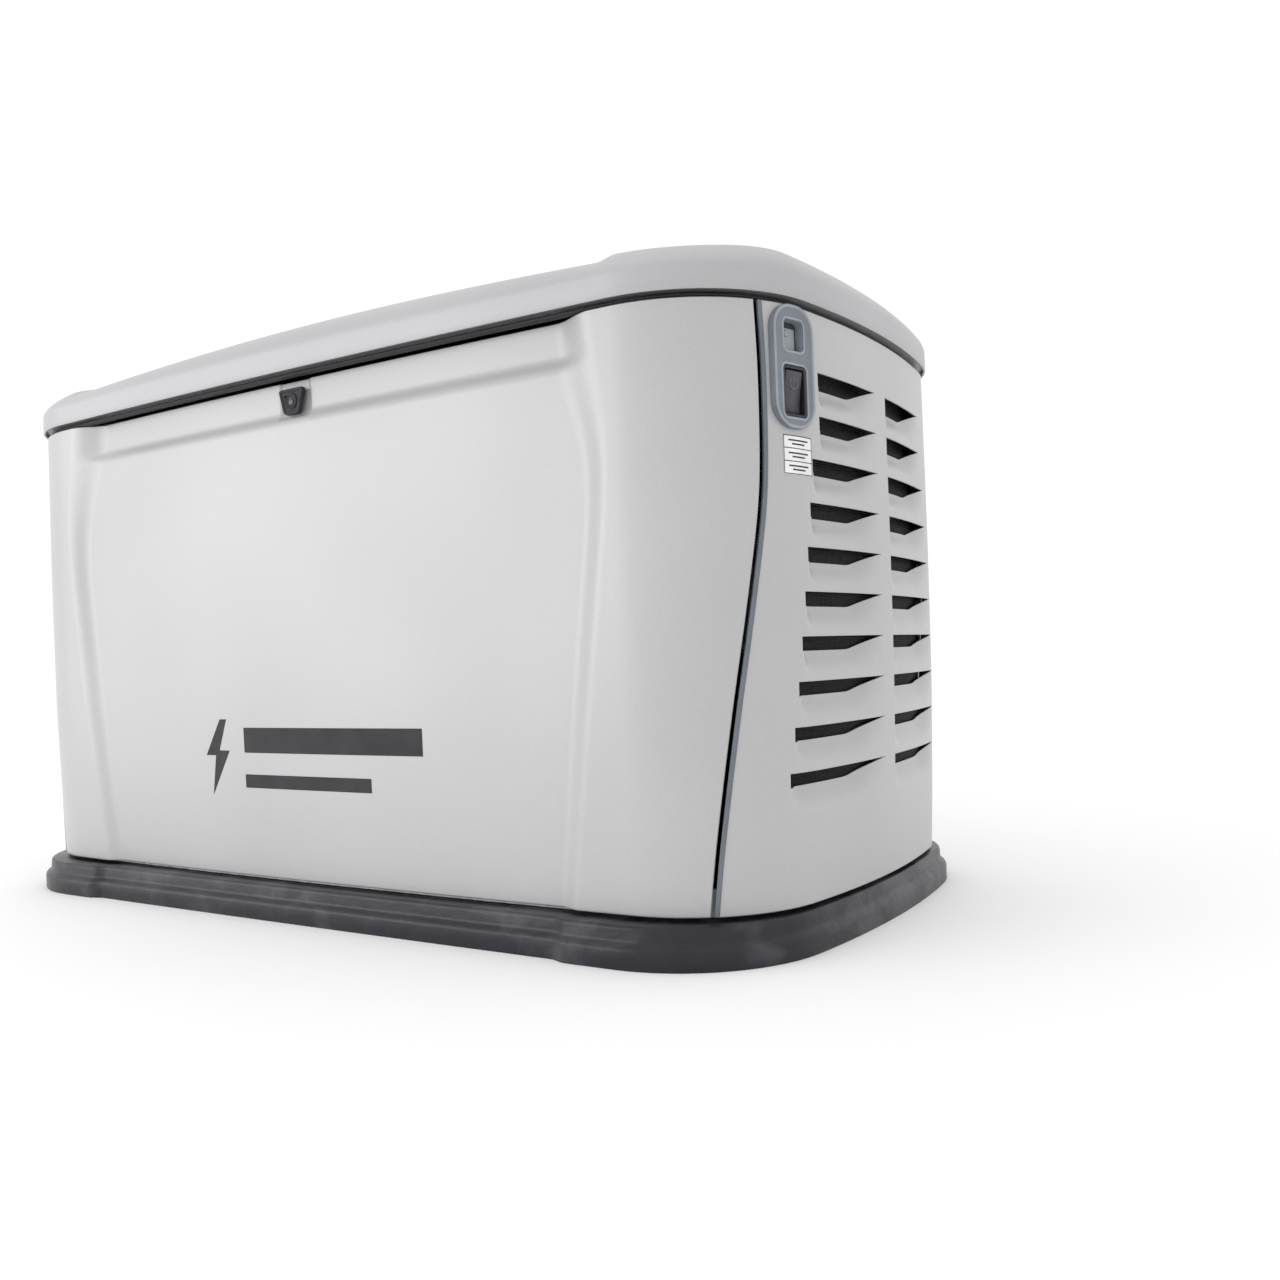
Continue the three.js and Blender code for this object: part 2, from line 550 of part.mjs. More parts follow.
const ENGINE_LEFT = -335;
const ENGINE_RIGHT = -95;
const upFromShaft = (pairs) => pairs.map(([y, z]) => [y, z + SHAFT_Z]);
const caseSection = upFromShaft([[-80, -95], [80, -95], [104, -60], [104, 16], [16, 104], [-16, 104],
  [-104, 16], [-104, -60]]);
const DIPSTICK = { x: -122, y: -118, low: 190, top: 340 };
const RAIL_TOP = 95;
addPiece('crankcase', cut(join(
  prismX(caseSection, ENGINE_LEFT, ENGINE_RIGHT),
  box(-315, -115, -100, -70, RAIL_TOP + GAP, 150),
  box(-315, -115, 70, 100, RAIL_TOP + GAP, 150),
  rodZ(9, DIPSTICK.low, DIPSTICK.top, DIPSTICK.x, DIPSTICK.y, 16),
  box(DIPSTICK.x - 8, DIPSTICK.x + 8, DIPSTICK.y, -90, DIPSTICK.low, 225)),
rodX(16.5, ENGINE_LEFT - 5, ENGINE_RIGHT + 5, 0, SHAFT_Z),
rodZ(6, DIPSTICK.low + 10, DIPSTICK.top + 1, DIPSTICK.x, DIPSTICK.y, 16)), CAST);

addPiece('dipstick', join(
  rodZ(2.5, DIPSTICK.low + 30, DIPSTICK.top + 4, DIPSTICK.x, DIPSTICK.y, 10),
  rodZ(13, DIPSTICK.top + 1, DIPSTICK.top + 12, DIPSTICK.x, DIPSTICK.y, 20),
  box(DIPSTICK.x - 3, DIPSTICK.x + 3, DIPSTICK.y - 11, DIPSTICK.y + 11, DIPSTICK.top + 10, DIPSTICK.top + 26)),
YELLOW_PLASTIC);

const DECK = 86;                  // distance of the cylinder deck from the shaft
const BARREL = { radius: 46, fin: 60, finCount: 4, finPitch: 28, height: 128, head: 40 };

function finnedBarrel() {
  const profile = [[0, DECK], [BARREL.radius, DECK]];
  for (let i = 0; i < BARREL.finCount; i += 1) {
    const z = DECK + 10 + i * BARREL.finPitch;
    profile.push([BARREL.radius, z], [BARREL.fin, z + 1], [BARREL.fin, z + 6], [BARREL.radius, z + 7]);
  }
  const top = DECK + BARREL.height;
  profile.push([BARREL.radius, top], [BARREL.fin, top], [BARREL.fin, top + BARREL.head], [0, top + BARREL.head]);
  return turned(profile, 12);
}

const coverTop = DECK + BARREL.height + BARREL.head;
function valveCover() {
  const foot = plate(roundedRectangle(112, 92, 16), coverTop + GAP, coverTop + 8);
  const dome = plate(roundedRectangle(98, 78, 20), coverTop + 7, coverTop + 32);
  return join(foot, dome);
}

for (const [side, lean, x] of [['front', CYLINDER_TILT, -243], ['rear', -CYLINDER_TILT, -207]]) {
  const seat = new THREE.Group();
  seat.position.set(x, 0, SHAFT_Z);
  seat.rotation.x = rad(lean);
  addPiece(`cylinder_${side}`, finnedBarrel(), CAST, seat);
  addPiece(`valve_cover_${side}`, valveCover(), ENGINE_BLACK, seat);
  model.add(seat);
}

const BLOWER = { left: -400, right: -336, radius: 150, wall: 5, hub: 40 };
addPiece('blower_housing', cut(
  rodX(BLOWER.radius, BLOWER.left, BLOWER.right, 0, SHAFT_Z, 28),
  rodX(BLOWER.radius - BLOWER.wall, BLOWER.left - 5, BLOWER.right - BLOWER.wall, 0, SHAFT_Z, 28),
  rodX(30, BLOWER.left - 5, BLOWER.right + 5, 0, SHAFT_Z)), ENGINE_BLACK);

const FAN = { left: -392, right: -348, radius: 126, vanes: 12 };
const vanes = Array.from({ length: FAN.vanes }, (_, i) => {
  const vane = box(FAN.left + 4, FAN.right - 2, -2, 2, 34, FAN.radius - 4);
  return vane.rotateX(2 * PI * i / FAN.vanes).translate(0, 0, SHAFT_Z);
});
addPiece('flywheel_fan', join(rodX(FAN.radius, FAN.right - 5, FAN.right, 0, SHAFT_Z, 24),
  rodX(40, FAN.left, FAN.right - 1, 0, SHAFT_Z, 20), ...vanes), CAST);

addPiece('oil_filter', turned([[0, 0], [30, 0], [38, 4], [38, 78], [32, 86], [0, 86]]).rotateX(PI / 2)
  .translate(-250, -104 - GAP, 185), FILTER_PAINT);
addPiece('starter_motor', join(rodX(37, -325, -190, 147, 165), rodX(16, -300, -215, 158, 214, 16),
  rodX(24, -190.5, -172, 147, 165, 20), box(-290, -225, 146, 166, 190, 212)), ENGINE_BLACK);

const MIXER = { x0: -138, x1: -74 };
addPiece('intake_mixer', join(
  box(MIXER.x0, MIXER.x1, -30, 30, SHAFT_Z + 104 + GAP, SHAFT_Z + 150),
  rodZ(28, SHAFT_Z + 149, 424, -106, 0),
  rodX(11, MIXER.x1 - 1, -50, 0, 355, 16)), CAST);
const airBox = plate(roundedRectangle(236, 150, 22), 424 + GAP, 470).translate(-170, 0, 0);
const airCover = plate(roundedRectangle(224, 138, 22), 469, 502).translate(-170, 0, 0);
addPiece('air_filter_housing', join(airBox, airCover), BLACK_PLASTIC);

// ---------------------------------------------------------------- alternator

const STATOR = { left: -60, right: 180, outside: 118, bore: 82 };
addPiece('alternator_stator', cut(join(
  rodX(STATOR.outside, STATOR.left, STATOR.right, 0, SHAFT_Z, 24),
  rodX(100, ENGINE_RIGHT + GAP, STATOR.left + 1, 0, SHAFT_Z, 24),
  box(90, 150, -105, -60, RAIL_TOP + GAP, 150),
  box(90, 150, 60, 105, RAIL_TOP + GAP, 150)),
rodX(STATOR.bore, ENGINE_RIGHT - 5, STATOR.right + 5, 0, SHAFT_Z, 24)), STEEL);

const bellVents = Array.from({ length: 6 }, (_, i) => {
  const vent = rodX(19, STATOR.right - 5, STATOR.right + 60, 0, 66, 10);
  return vent.rotateX(2 * PI * i / 6).translate(0, 0, SHAFT_Z);
});
addPiece('alternator_end_bell', cut(join(
  rodX(STATOR.outside, STATOR.right + GAP, STATOR.right + 14, 0, SHAFT_Z, 24),
  rodX(100, STATOR.right + 13, STATOR.right + 30, 0, SHAFT_Z, 24)),
rodX(17, STATOR.right - 5, STATOR.right + 25, 0, SHAFT_Z), ...bellVents), CAST);

addPiece('rotor_shaft', join(
  rodX(15, -345, STATOR.right + 22, 0, SHAFT_Z),
  rodX(77, STATOR.left + 20, STATOR.right - 15, 0, SHAFT_Z, 24)), STEEL);

// ---------------------------------------------------------------- skid and isolators

const SKID = { low: 75, y: 85, width: 34, x0: -330, x1: 190 };
const skidRails = [-1, 1].map((side) => box(SKID.x0, SKID.x1, side * SKID.y - SKID.width / 2,
  side * SKID.y + SKID.width / 2, SKID.low, RAIL_TOP));
const skidCrosses = [SKID.x0, SKID.x1 - 60].map((x) => box(x, x + 60, -150, 150, SKID.low, SKID.low + 8));
addPiece('engine_skid', join(...skidRails, ...skidCrosses), GALVANISED);

const isolatorProfile = [[0, TRAY_FLOOR + GAP], [24, TRAY_FLOOR + GAP], [24, 49], [17, 55], [17, 64],
  [24, 69], [24, SKID.low - GAP], [0, SKID.low - GAP]];
for (const [end, x] of [['left', SKID.x0 + 30], ['right', SKID.x1 - 30]]) {
  for (const [side, y] of [['front', -126], ['rear', 126]]) {
    addPiece(`isolator_${end}_${side}`, turned(isolatorProfile, 12).translate(x, y, 0), RUBBER);
  }
}

// ---------------------------------------------------------------- exhaust

const DIVIDER = { x0: -412, x1: -409, reach: 262, top: 600 };
const portZ = SHAFT_Z + (DECK + BARREL.height + 20) * sin(rad(45));
const portY = (DECK + BARREL.height + 20) * sin(rad(45));
addPiece('divider_panel', cut(
  box(DIVIDER.x0, DIVIDER.x1, -DIVIDER.reach, DIVIDER.reach, TRAY_FLOOR + GAP, DIVIDER.top),
  rodX(132, DIVIDER.x0 - 5, DIVIDER.x1 + 5, 0, SHAFT_Z, 24),
  rodX(27, DIVIDER.x0 - 5, DIVIDER.x1 + 5, -205, portZ - 1),
  rodX(27, DIVIDER.x0 - 5, DIVIDER.x1 + 5, 205, portZ - 1)), GALVANISED);

const MUFFLER = { x: -492, z: 250, radius: 60, half: 168 };
const shellEnd = MUFFLER.half;
const mufflerProfile = [[0, -shellEnd], [42, -shellEnd], [56, -shellEnd + 8], [MUFFLER.radius, -shellEnd + 20],
  [MUFFLER.radius, shellEnd - 20], [56, shellEnd - 8], [42, shellEnd], [0, shellEnd]];
const mufflerShell = turned(mufflerProfile, 20).rotateX(PI / 2).translate(MUFFLER.x, 0, MUFFLER.z);
const mufflerFeet = [-1, 1].map((side) => box(MUFFLER.x - 30, MUFFLER.x + 30, side * 110 - 3, side * 110 + 3,
  TRAY_FLOOR + GAP, MUFFLER.z - 40));
addPiece('muffler', join(mufflerShell, ...mufflerFeet), HOT_STEEL);

for (const [side, sign, x] of [['front', -1, -243], ['rear', 1, -207]]) {
  const start = x - BARREL.fin - 4;
  addPiece(`exhaust_pipe_${side}`, bentBar([
    [start, sign * portY, portZ], [start - 30, sign * (portY + 8), portZ], [-380, sign * 200, portZ],
    [-450, sign * 208, portZ - 4], [MUFFLER.x, sign * 222, 350], [MUFFLER.x, sign * 224, 285],
    [MUFFLER.x, sign * 206, 255], [MUFFLER.x, sign * (shellEnd + 3), 250]], 15, 22), HOT_STEEL);
}
addPiece('exhaust_outlet', bentBar([[MUFFLER.x, 60, MUFFLER.z - MUFFLER.radius - 1], [MUFFLER.x, 60, 165],
  [MUFFLER.x - 14, 60, 145], [MUFFLER.x - 40, 60, 138], [MUFFLER.x - 76, 60, 138]], 17, 12), HOT_STEEL);

// ---------------------------------------------------------------- fuel

addPiece('fuel_regulator', join(
  rodY(60, 150, 205, FUEL.x, FUEL.z, 24), rodY(22, 140, 216, FUEL.x, FUEL.z, 20),
  rodX(13, FUEL.x - 100, FUEL.x - 40, 178, FUEL.z + 20, 16),
  box(FUEL.x - 20, FUEL.x + 20, 165, 190, TRAY_FLOOR + GAP, FUEL.z - 40)), CAST);
addPiece('fuel_inlet_pipe', cut(join(
  rodY(FUEL.pipe, 216 + GAP, 320, FUEL.x, FUEL.z, 20), rodY(20, 262, 280, FUEL.x, FUEL.z, 6)),
rodY(FUEL.pipe - 4, 230, 330, FUEL.x, FUEL.z, 20)), ENGINE_BLACK);

// ---------------------------------------------------------------- battery

const BATTERY = { x0: 385, x1: 558, half: 104, low: 60, high: 252 };
const trayOut = box(BATTERY.x0 - 5, BATTERY.x1 + 5, -112, 112, TRAY_FLOOR + GAP, 78);
addPiece('battery_tray', cut(trayOut, box(BATTERY.x0 - 2, BATTERY.x1 + 2, -109, 109, 60, 90)), BLACK_PLASTIC);
addPiece('battery', join(
  box(BATTERY.x0, BATTERY.x1, -BATTERY.half, BATTERY.half, BATTERY.low + GAP, BATTERY.high),
  rodZ(9, BATTERY.high - 1, BATTERY.high + 18, BATTERY.x0 + 28, -76, 16),
  rodZ(9, BATTERY.high - 1, BATTERY.high + 18, BATTERY.x0 + 28, 76, 16)), BLACK_PLASTIC);
addPiece('battery_strap', cut(
  box(470, 494, -107, 107, 82, BATTERY.high + 3),
  box(460, 504, -BATTERY.half - GAP, BATTERY.half + GAP, 70, BATTERY.high + GAP)), RUBBER);

// ---------------------------------------------------------------- control bracket, controller, breaker

const SHELF = { z: 470, x0: 140, x1: 440, y0: -262, y1: -105 };
addPiece('control_bracket', cut(join(
  box(366, 369, -262, 262, TRAY_FLOOR + GAP, SHELF.z + SHEET),
  box(SHELF.x0, SHELF.x1, SHELF.y0, SHELF.y1, SHELF.z, SHELF.z + SHEET)),
rodX(125, 350, 380, 0, SHAFT_Z, 24)), GALVANISED);

const DECK_FRONT = [-256, 556];
const DECK_BACK = [-136, 606];
const controlFoot = SHELF.z + SHEET + GAP;
const slope = atan2(DECK_BACK[1] - DECK_FRONT[1], DECK_BACK[0] - DECK_FRONT[0]);
const controlFace = new THREE.Group();
controlFace.position.set(250, (DECK_FRONT[0] + DECK_BACK[0]) / 2, (DECK_FRONT[1] + DECK_BACK[1]) / 2);
controlFace.rotation.x = slope;
controlFace.updateMatrixWorld(true);
// In this frame +X runs to the right, +Y up the slope, +Z out of the control face.
const SCREEN_WINDOW = { width: 84, height: 44, y: 22 };
const BUTTON = { radius: 9, y: -32, pitch: 34, proud: 3.5, room: 6 };
const buttonXs = { off: -BUTTON.pitch, auto: 0, manual: BUTTON.pitch };
const controlPockets = Object.values(buttonXs).map((x) => rodZ(BUTTON.radius + 0.6, -BUTTON.room, 5, x, BUTTON.y));
const displayPocket = plate(roundedRectangle(SCREEN_WINDOW.width + 1, SCREEN_WINDOW.height + 1, 4), -3, 5);
const faceCuts = [...controlPockets, displayPocket.translate(0, SCREEN_WINDOW.y, 0)]
  .map((tool) => tool.applyMatrix4(controlFace.matrixWorld));
addPiece('controller_housing', cut(prismX([DECK_FRONT, [DECK_FRONT[0], controlFoot], [DECK_BACK[0], controlFoot],
  DECK_BACK], 165, 335), ...faceCuts), BLACK_PLASTIC);
model.add(controlFace);
addPiece('controller_display', plate(roundedRectangle(SCREEN_WINDOW.width, SCREEN_WINDOW.height, 4), -3 + GAP, 0.6)
  .translate(0, SCREEN_WINDOW.y, 0), LENS, controlFace);
for (const [mode, x] of Object.entries(buttonXs)) {
  const dome = [[0, -3], [BUTTON.radius, -3], [BUTTON.radius, BUTTON.proud - 1.5], [BUTTON.radius - 1.5, BUTTON.proud],
    [0, BUTTON.proud]];
  addPiece(`button_${mode}`, turned(dome, 20).translate(x, BUTTON.y, 0), BEZEL_PLASTIC, controlFace);
}

const BREAKER = { x0: 352, x1: 412, y0: -250, y1: -150, top: 560, toggle: 7 };
const breakerMiddle = [(BREAKER.x0 + BREAKER.x1) / 2, (BREAKER.y0 + BREAKER.y1) / 2];
addPiece('main_breaker', cut(
  box(BREAKER.x0, BREAKER.x1, BREAKER.y0, BREAKER.y1, controlFoot, BREAKER.top),
  box(breakerMiddle[0] - 8, breakerMiddle[0] + 8, breakerMiddle[1] - 22, breakerMiddle[1] + 22,
    BREAKER.top - 12, BREAKER.top + 1)), BLACK_PLASTIC);
const lever = box(-6, 6, -4, 4, 0, 26);
addPiece('breaker_toggle', join(lever, rodX(BREAKER.toggle, -6.5, 6.5)).rotateX(rad(20))
  .translate(breakerMiddle[0], breakerMiddle[1], BREAKER.top - 3), BLACK_PLASTIC);

export default model;
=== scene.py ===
# %% [markdown]
# # A home standby generator in its weatherproof enclosure
# The machine is a V-twin engine and an alternator on one shaft, inside a bowed sheet-metal housing that
# stands on a moulded pad. The housing is what everyone sees, so it gets most of the work: a wrap-round
# front panel with a shallow pressed recess, a louvred intake end, and a lid with soft shoulders. The frame
# holds every moving part already, and this script dresses it, piece by piece, in metres and in the frame's
# own axes.

# %% The frame and a few numbers from it
import functools
import json
import math

import bmesh
import bpy
from mathutils import Matrix, Vector
from mathutils.geometry import tessellate_polygon

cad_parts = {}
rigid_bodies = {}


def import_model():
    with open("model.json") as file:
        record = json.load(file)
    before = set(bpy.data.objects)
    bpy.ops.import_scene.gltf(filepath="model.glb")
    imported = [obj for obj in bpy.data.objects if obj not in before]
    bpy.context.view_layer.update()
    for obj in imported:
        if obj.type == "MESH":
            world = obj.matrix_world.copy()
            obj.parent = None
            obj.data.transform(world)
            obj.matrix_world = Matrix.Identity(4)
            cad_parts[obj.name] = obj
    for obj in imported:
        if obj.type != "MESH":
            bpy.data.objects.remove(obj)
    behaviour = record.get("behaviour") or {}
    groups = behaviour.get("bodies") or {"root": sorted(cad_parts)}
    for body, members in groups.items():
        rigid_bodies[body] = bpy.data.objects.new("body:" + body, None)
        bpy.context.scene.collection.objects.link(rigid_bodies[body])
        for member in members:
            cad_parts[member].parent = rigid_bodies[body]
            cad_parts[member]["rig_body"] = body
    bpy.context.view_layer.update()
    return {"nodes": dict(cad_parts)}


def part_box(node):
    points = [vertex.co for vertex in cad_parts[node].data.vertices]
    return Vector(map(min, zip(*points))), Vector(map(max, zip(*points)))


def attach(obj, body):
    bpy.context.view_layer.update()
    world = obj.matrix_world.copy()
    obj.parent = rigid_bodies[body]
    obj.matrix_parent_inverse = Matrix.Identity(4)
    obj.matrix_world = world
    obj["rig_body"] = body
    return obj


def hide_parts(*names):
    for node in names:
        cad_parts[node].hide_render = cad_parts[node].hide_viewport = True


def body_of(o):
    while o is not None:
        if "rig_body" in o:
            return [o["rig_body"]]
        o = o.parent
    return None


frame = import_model()
MM = 0.001
lid_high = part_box("lid")[1]
panel_low, panel_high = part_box("front_panel")
print(f"{len(frame['nodes'])} frame nodes, object {lid_high.x * 2:.3f} m long and {lid_high.z:.3f} m high")

# %% [markdown]
# ## Camera
# A low three-quarter view from the front right, a little over a metre away, with a short lens: the
# verticals stay nearly parallel while the long front runs strongly away to the left. The three turns are
# applied in the order that a tripod head has them: pan, tilt, then roll.

# %% Camera
EYE = Vector((1.0635, -1.2263, 0.2933))
PAN, TILT, ROLL = 0.5678, 0.0121, 0.0356      # radians, to the left, up, and clockwise
LENS_MM = 33.0


def add_camera():
    data = bpy.data.cameras.new("camera")
    data.lens = LENS_MM
    data.sensor_width = 36.0
    data.clip_start = 0.02
    camera = bpy.data.objects.new("camera", data)
    upright = Matrix.Rotation(PAN, 4, "Z") @ Matrix.Rotation(math.pi / 2 + TILT, 4, "X")
    turn = upright @ Matrix.Rotation(-ROLL, 4, "Z")
    camera.matrix_world = Matrix.Translation(EYE) @ turn
    bpy.context.scene.collection.objects.link(camera)
    bpy.context.scene.camera = camera
    return camera


camera = add_camera()
print("camera at", [round(v, 3) for v in camera.location])

# %% [markdown]
# ## Studio
# A large white floor under the machine, one large soft light from the front left, a broad one overhead
# and a weak fill on the intake end. Large lights are what give satin paint its long soft highlights. The
# colours are viewed without a film curve, so that a painted grey comes out as the grey that was mixed.

# %% Studio
def soft_light(name, place, aim, width, height, watts, tint=(1.0, 1.0, 1.0)):
    data = bpy.data.lights.new(name, "AREA")
    data.shape = "RECTANGLE"
    data.size, data.size_y = width, height
    data.energy = watts
    data.color = tint
    lamp = bpy.data.objects.new(name, data)
    lamp.location = place
    lamp.rotation_euler = (Vector(aim) - Vector(place)).to_track_quat("-Z", "Y").to_euler()
    bpy.context.scene.collection.objects.link(lamp)
    return lamp


def plain_material(name, colour, roughness):
    material = bpy.data.materials.new(name)
    material.use_nodes = True
    shader = material.node_tree.nodes["Principled BSDF"]
    shader.inputs["Base Color"].default_value = (*colour, 1.0)
    shader.inputs["Roughness"].default_value = roughness
    return material


def add_studio():
    bpy.context.scene.view_settings.view_transform = "Standard"
    world = bpy.data.worlds.new("studio_air")
    world.use_nodes = True
    world.node_tree.nodes["Background"].inputs["Color"].default_value = (1.0, 1.0, 1.0, 1.0)
    world.node_tree.nodes["Background"].inputs["Strength"].default_value = 1.05
    bpy.context.scene.world = world
    mesh = bpy.data.meshes.new("studio_floor")
    reach = 14.0
    corners = [(-reach, -reach, 0), (reach, -reach, 0), (reach, reach, 0), (-reach, reach, 0)]
    mesh.from_pydata(corners, [], [(0, 1, 2, 3)])
    floor = bpy.data.objects.new("studio_floor", mesh)
    mesh.materials.append(plain_material("studio_white", (0.96, 0.96, 0.96), 0.8))
    bpy.context.scene.collection.objects.link(floor)
    soft_light("key_left", (-2.5, -3.1, 1.15), (0.0, -0.2, 0.35), 3.2, 2.6, 52)
    soft_light("overhead", (0.2, -0.4, 3.2), (0.0, 0.0, 0.5), 3.0, 2.0, 5)
    soft_light("fill_right", (3.4, -1.0, 1.2), (0.55, -0.1, 0.35), 0.9, 1.8, 0.8)


add_studio()
print("studio: 3 soft lights and a white floor")

# %% [markdown]
# ## Materials
# Each finish is a small node tree that reads Object coordinates. Every object sits at the origin with its
# place in its mesh, so those coordinates are metres on the machine, and a grain size can be given in real
# units.

# %% Node helpers
class Finish:
    """A Principled material under construction, with short names for the nodes that finishes share."""

    def __init__(self, name, colour, roughness, metallic=0.0):
        self.name = name
        self.material = bpy.data.materials.new(f"made_{name}")
        self.material.use_nodes = True
        self.nodes = self.material.node_tree.nodes
        self.links = self.material.node_tree.links
        self.shader = self.nodes["Principled BSDF"]
        self.shader.inputs["Base Color"].default_value = (*colour, 1.0)
        self.shader.inputs["Roughness"].default_value = roughness
        self.shader.inputs["Metallic"].default_value = metallic
        self.place = self.nodes.new("ShaderNodeTexCoord").outputs["Object"]

    def set(self, **values):
        for name, value in values.items():
            self.shader.inputs[name.replace("_", " ")].default_value = value
        return self

    def noise(self, size, detail=2.0, stretch=(1, 1, 1), distortion=0.0):
        """Noise whose features are about this many metres across."""
        mapping = self.nodes.new("ShaderNodeMapping")
        mapping.inputs["Scale"].default_value = [s / size for s in stretch]
        self.links.new(self.place, mapping.inputs["Vector"])
        texture = self.nodes.new("ShaderNodeTexNoise")
        texture.inputs["Scale"].default_value = 1.0
        texture.inputs["Detail"].default_value = detail
        texture.inputs["Distortion"].default_value = distortion
        self.links.new(mapping.outputs["Vector"], texture.inputs["Vector"])
        return texture.outputs["Fac"]

    def cells(self, size, feature="F1", output="Color"):
        mapping = self.nodes.new("ShaderNodeMapping")
        mapping.inputs["Scale"].default_value = [1 / size] * 3
        self.links.new(self.place, mapping.inputs["Vector"])
        texture = self.nodes.new("ShaderNodeTexVoronoi")
        texture.feature = feature
        texture.inputs["Scale"].default_value = 1.0
        self.links.new(mapping.outputs["Vector"], texture.inputs["Vector"])
        return texture.outputs[output]

    def ramp(self, factor, stops):
        """stops: [(position, (r, g, b)), ...]"""
        node = self.nodes.new("ShaderNodeValToRGB")
        elements = node.color_ramp.elements
        while len(elements) < len(stops):
            elements.new(0.5)
        for element, (position, colour) in zip(elements, stops):
            element.position = position
            element.color = (*colour, 1.0)
        self.links.new(factor, node.inputs["Fac"])
        return node.outputs["Color"]

    def spread(self, factor, low, high, start=0.3, end=0.7):
        """Maps a factor from start..end on to low..high."""
        node = self.nodes.new("ShaderNodeMapRange")
        for name, value in (("From Min", start), ("From Max", end), ("To Min", low), ("To Max", high)):
            node.inputs[name].default_value = value
        self.links.new(factor, node.inputs["Value"])
        return node.outputs["Result"]

    def into(self, output, socket):
        self.links.new(output, self.shader.inputs[socket])
        return self

    def bump(self, *heights):
        """heights: (output, depth in metres) pairs, laid one over the other."""
        normal = None
        for output, depth in heights:
            node = self.nodes.new("ShaderNodeBump")
            node.inputs["Distance"].default_value = depth
            self.links.new(output, node.inputs["Height"])
            if normal is not None:
                self.links.new(normal, node.inputs["Normal"])
            normal = node.outputs["Normal"]
        self.links.new(normal, self.shader.inputs["Normal"])
        return self


finishes = {}


def keep(finish):
    finishes[finish.name] = finish.material
    return finish.material


def shades(colour, *factors):
    return [tuple(channel * factor for channel in colour) for factor in factors]


print("finish helpers ready")

# %% [markdown]
# ### Powder coat
# The panels wear a light silver powder coat with a fine flake in it, and the lid is a slightly cooler
# grey. Three scales make it: flakes under a millimetre that vary the brightness and the gloss, the orange
# peel of the coat at a few millimetres as a very shallow bump, and a faint cloudiness over the hand's
# breadth.

# %% Powder coat
def powder_coat(name, colour, roughness):
    finish = Finish(name, colour, roughness, metallic=0.12)
    flake = finish.cells(0.9 * MM)
    cloud = finish.noise(0.25, detail=1.0)
    dark, light = shades(colour, 0.965, 1.035)
    mix = finish.nodes.new("ShaderNodeMix")
    mix.data_type = "RGBA"
    mix.inputs["Factor"].default_value = 0.045
    finish.links.new(finish.ramp(cloud, [(0.3, dark), (0.7, light)]), mix.inputs["A"])
    finish.links.new(flake, mix.inputs["B"])
    finish.into(mix.outputs["Result"], "Base Color")
    finish.into(finish.spread(flake, roughness - 0.05, roughness + 0.05, 0.1, 0.9), "Roughness")
    finish.bump((finish.noise(1.4 * MM, detail=1.0), 0.02 * MM), (finish.noise(6 * MM), 0.03 * MM))
    return keep(finish)


powder_coat("paint_panel", (0.455, 0.453, 0.456), 0.36)
powder_coat("paint_lid", (0.415, 0.412, 0.425), 0.40)
print("powder coats:", sorted(finishes))

# %% [markdown]
# ### Marbled composite
# The pad is moulded from a fibre-filled composite: near-black with paler cloudy streaks where the filler
# shows, and a surface that is slightly rough to the hand but still catches a broad highlight.

# %% Marbled composite
def marbled_composite():
    finish = Finish("pad_composite", (0.010, 0.010, 0.014), 0.42).set(Specular_IOR_Level=0.42)
    streaks = finish.noise(70 * MM, detail=9.0, stretch=(1, 1, 1.6), distortion=0.5)
    grain = finish.noise(2.2 * MM, detail=3.0)
    finish.into(finish.ramp(streaks, [(0.30, (0.006, 0.006, 0.010)), (0.5, (0.013, 0.012, 0.018)),
                                      (0.62, (0.040, 0.038, 0.047)), (0.78, (0.060, 0.058, 0.066))]),
                "Base Color")
    finish.into(finish.spread(grain, 0.28, 0.46), "Roughness")
    finish.bump((grain, 0.15 * MM), (finish.noise(14 * MM, detail=3.0), 0.6 * MM))
    return keep(finish)


marbled_composite()

# %% [markdown]
# ### Plastics and rubber
# Moulded plastic has a spark-eroded grain, so each one gets a fine bump and a roughness that wanders a
# little.

# %% Plastics and rubber
def moulded(name, colour, roughness, grain=0.5 * MM, depth=0.02 * MM):
    finish = Finish(name, colour, roughness)
    texture = finish.noise(grain, detail=2.0)
    cloud = finish.noise(30 * MM, detail=2.0)
    low, high = shades(colour, 0.9, 1.1)
    finish.into(finish.ramp(cloud, [(0.3, low), (0.7, high)]), "Base Color")
    finish.into(finish.spread(cloud, roughness - 0.06, roughness + 0.06), "Roughness")
    finish.bump((texture, depth))
    return keep(finish)


moulded("bezel_plastic", (0.165, 0.182, 0.205), 0.42)
moulded("black_plastic", (0.016, 0.016, 0.018), 0.45)
moulded("rocker_plastic", (0.055, 0.055, 0.060), 0.5)
moulded("battery_case", (0.02, 0.02, 0.022), 0.4)
moulded("yellow_plastic", (0.70, 0.40, 0.02), 0.4)
moulded("red_plastic", (0.42, 0.02, 0.015), 0.4)
moulded("rubber", (0.014, 0.015, 0.018), 0.62, grain=0.8 * MM, depth=0.04 * MM)
moulded("foam", (0.035, 0.035, 0.037), 0.95, grain=3 * MM, depth=0.9 * MM)
moulded("lens", (0.27, 0.29, 0.305), 0.3)
moulded("label_white", (0.80, 0.80, 0.79), 0.35)
moulded("print_charcoal", (0.009, 0.009, 0.012), 0.6)
print("moulded finishes:", len(finishes))

# %% [markdown]
# ### Metals
# Zinc-coated sheet shows its crystals, castings are granular, turned steel has fine lines round it, and an
# exhaust is tinted by heat. Paint on the engine is a plain semi-gloss black with a little dust.

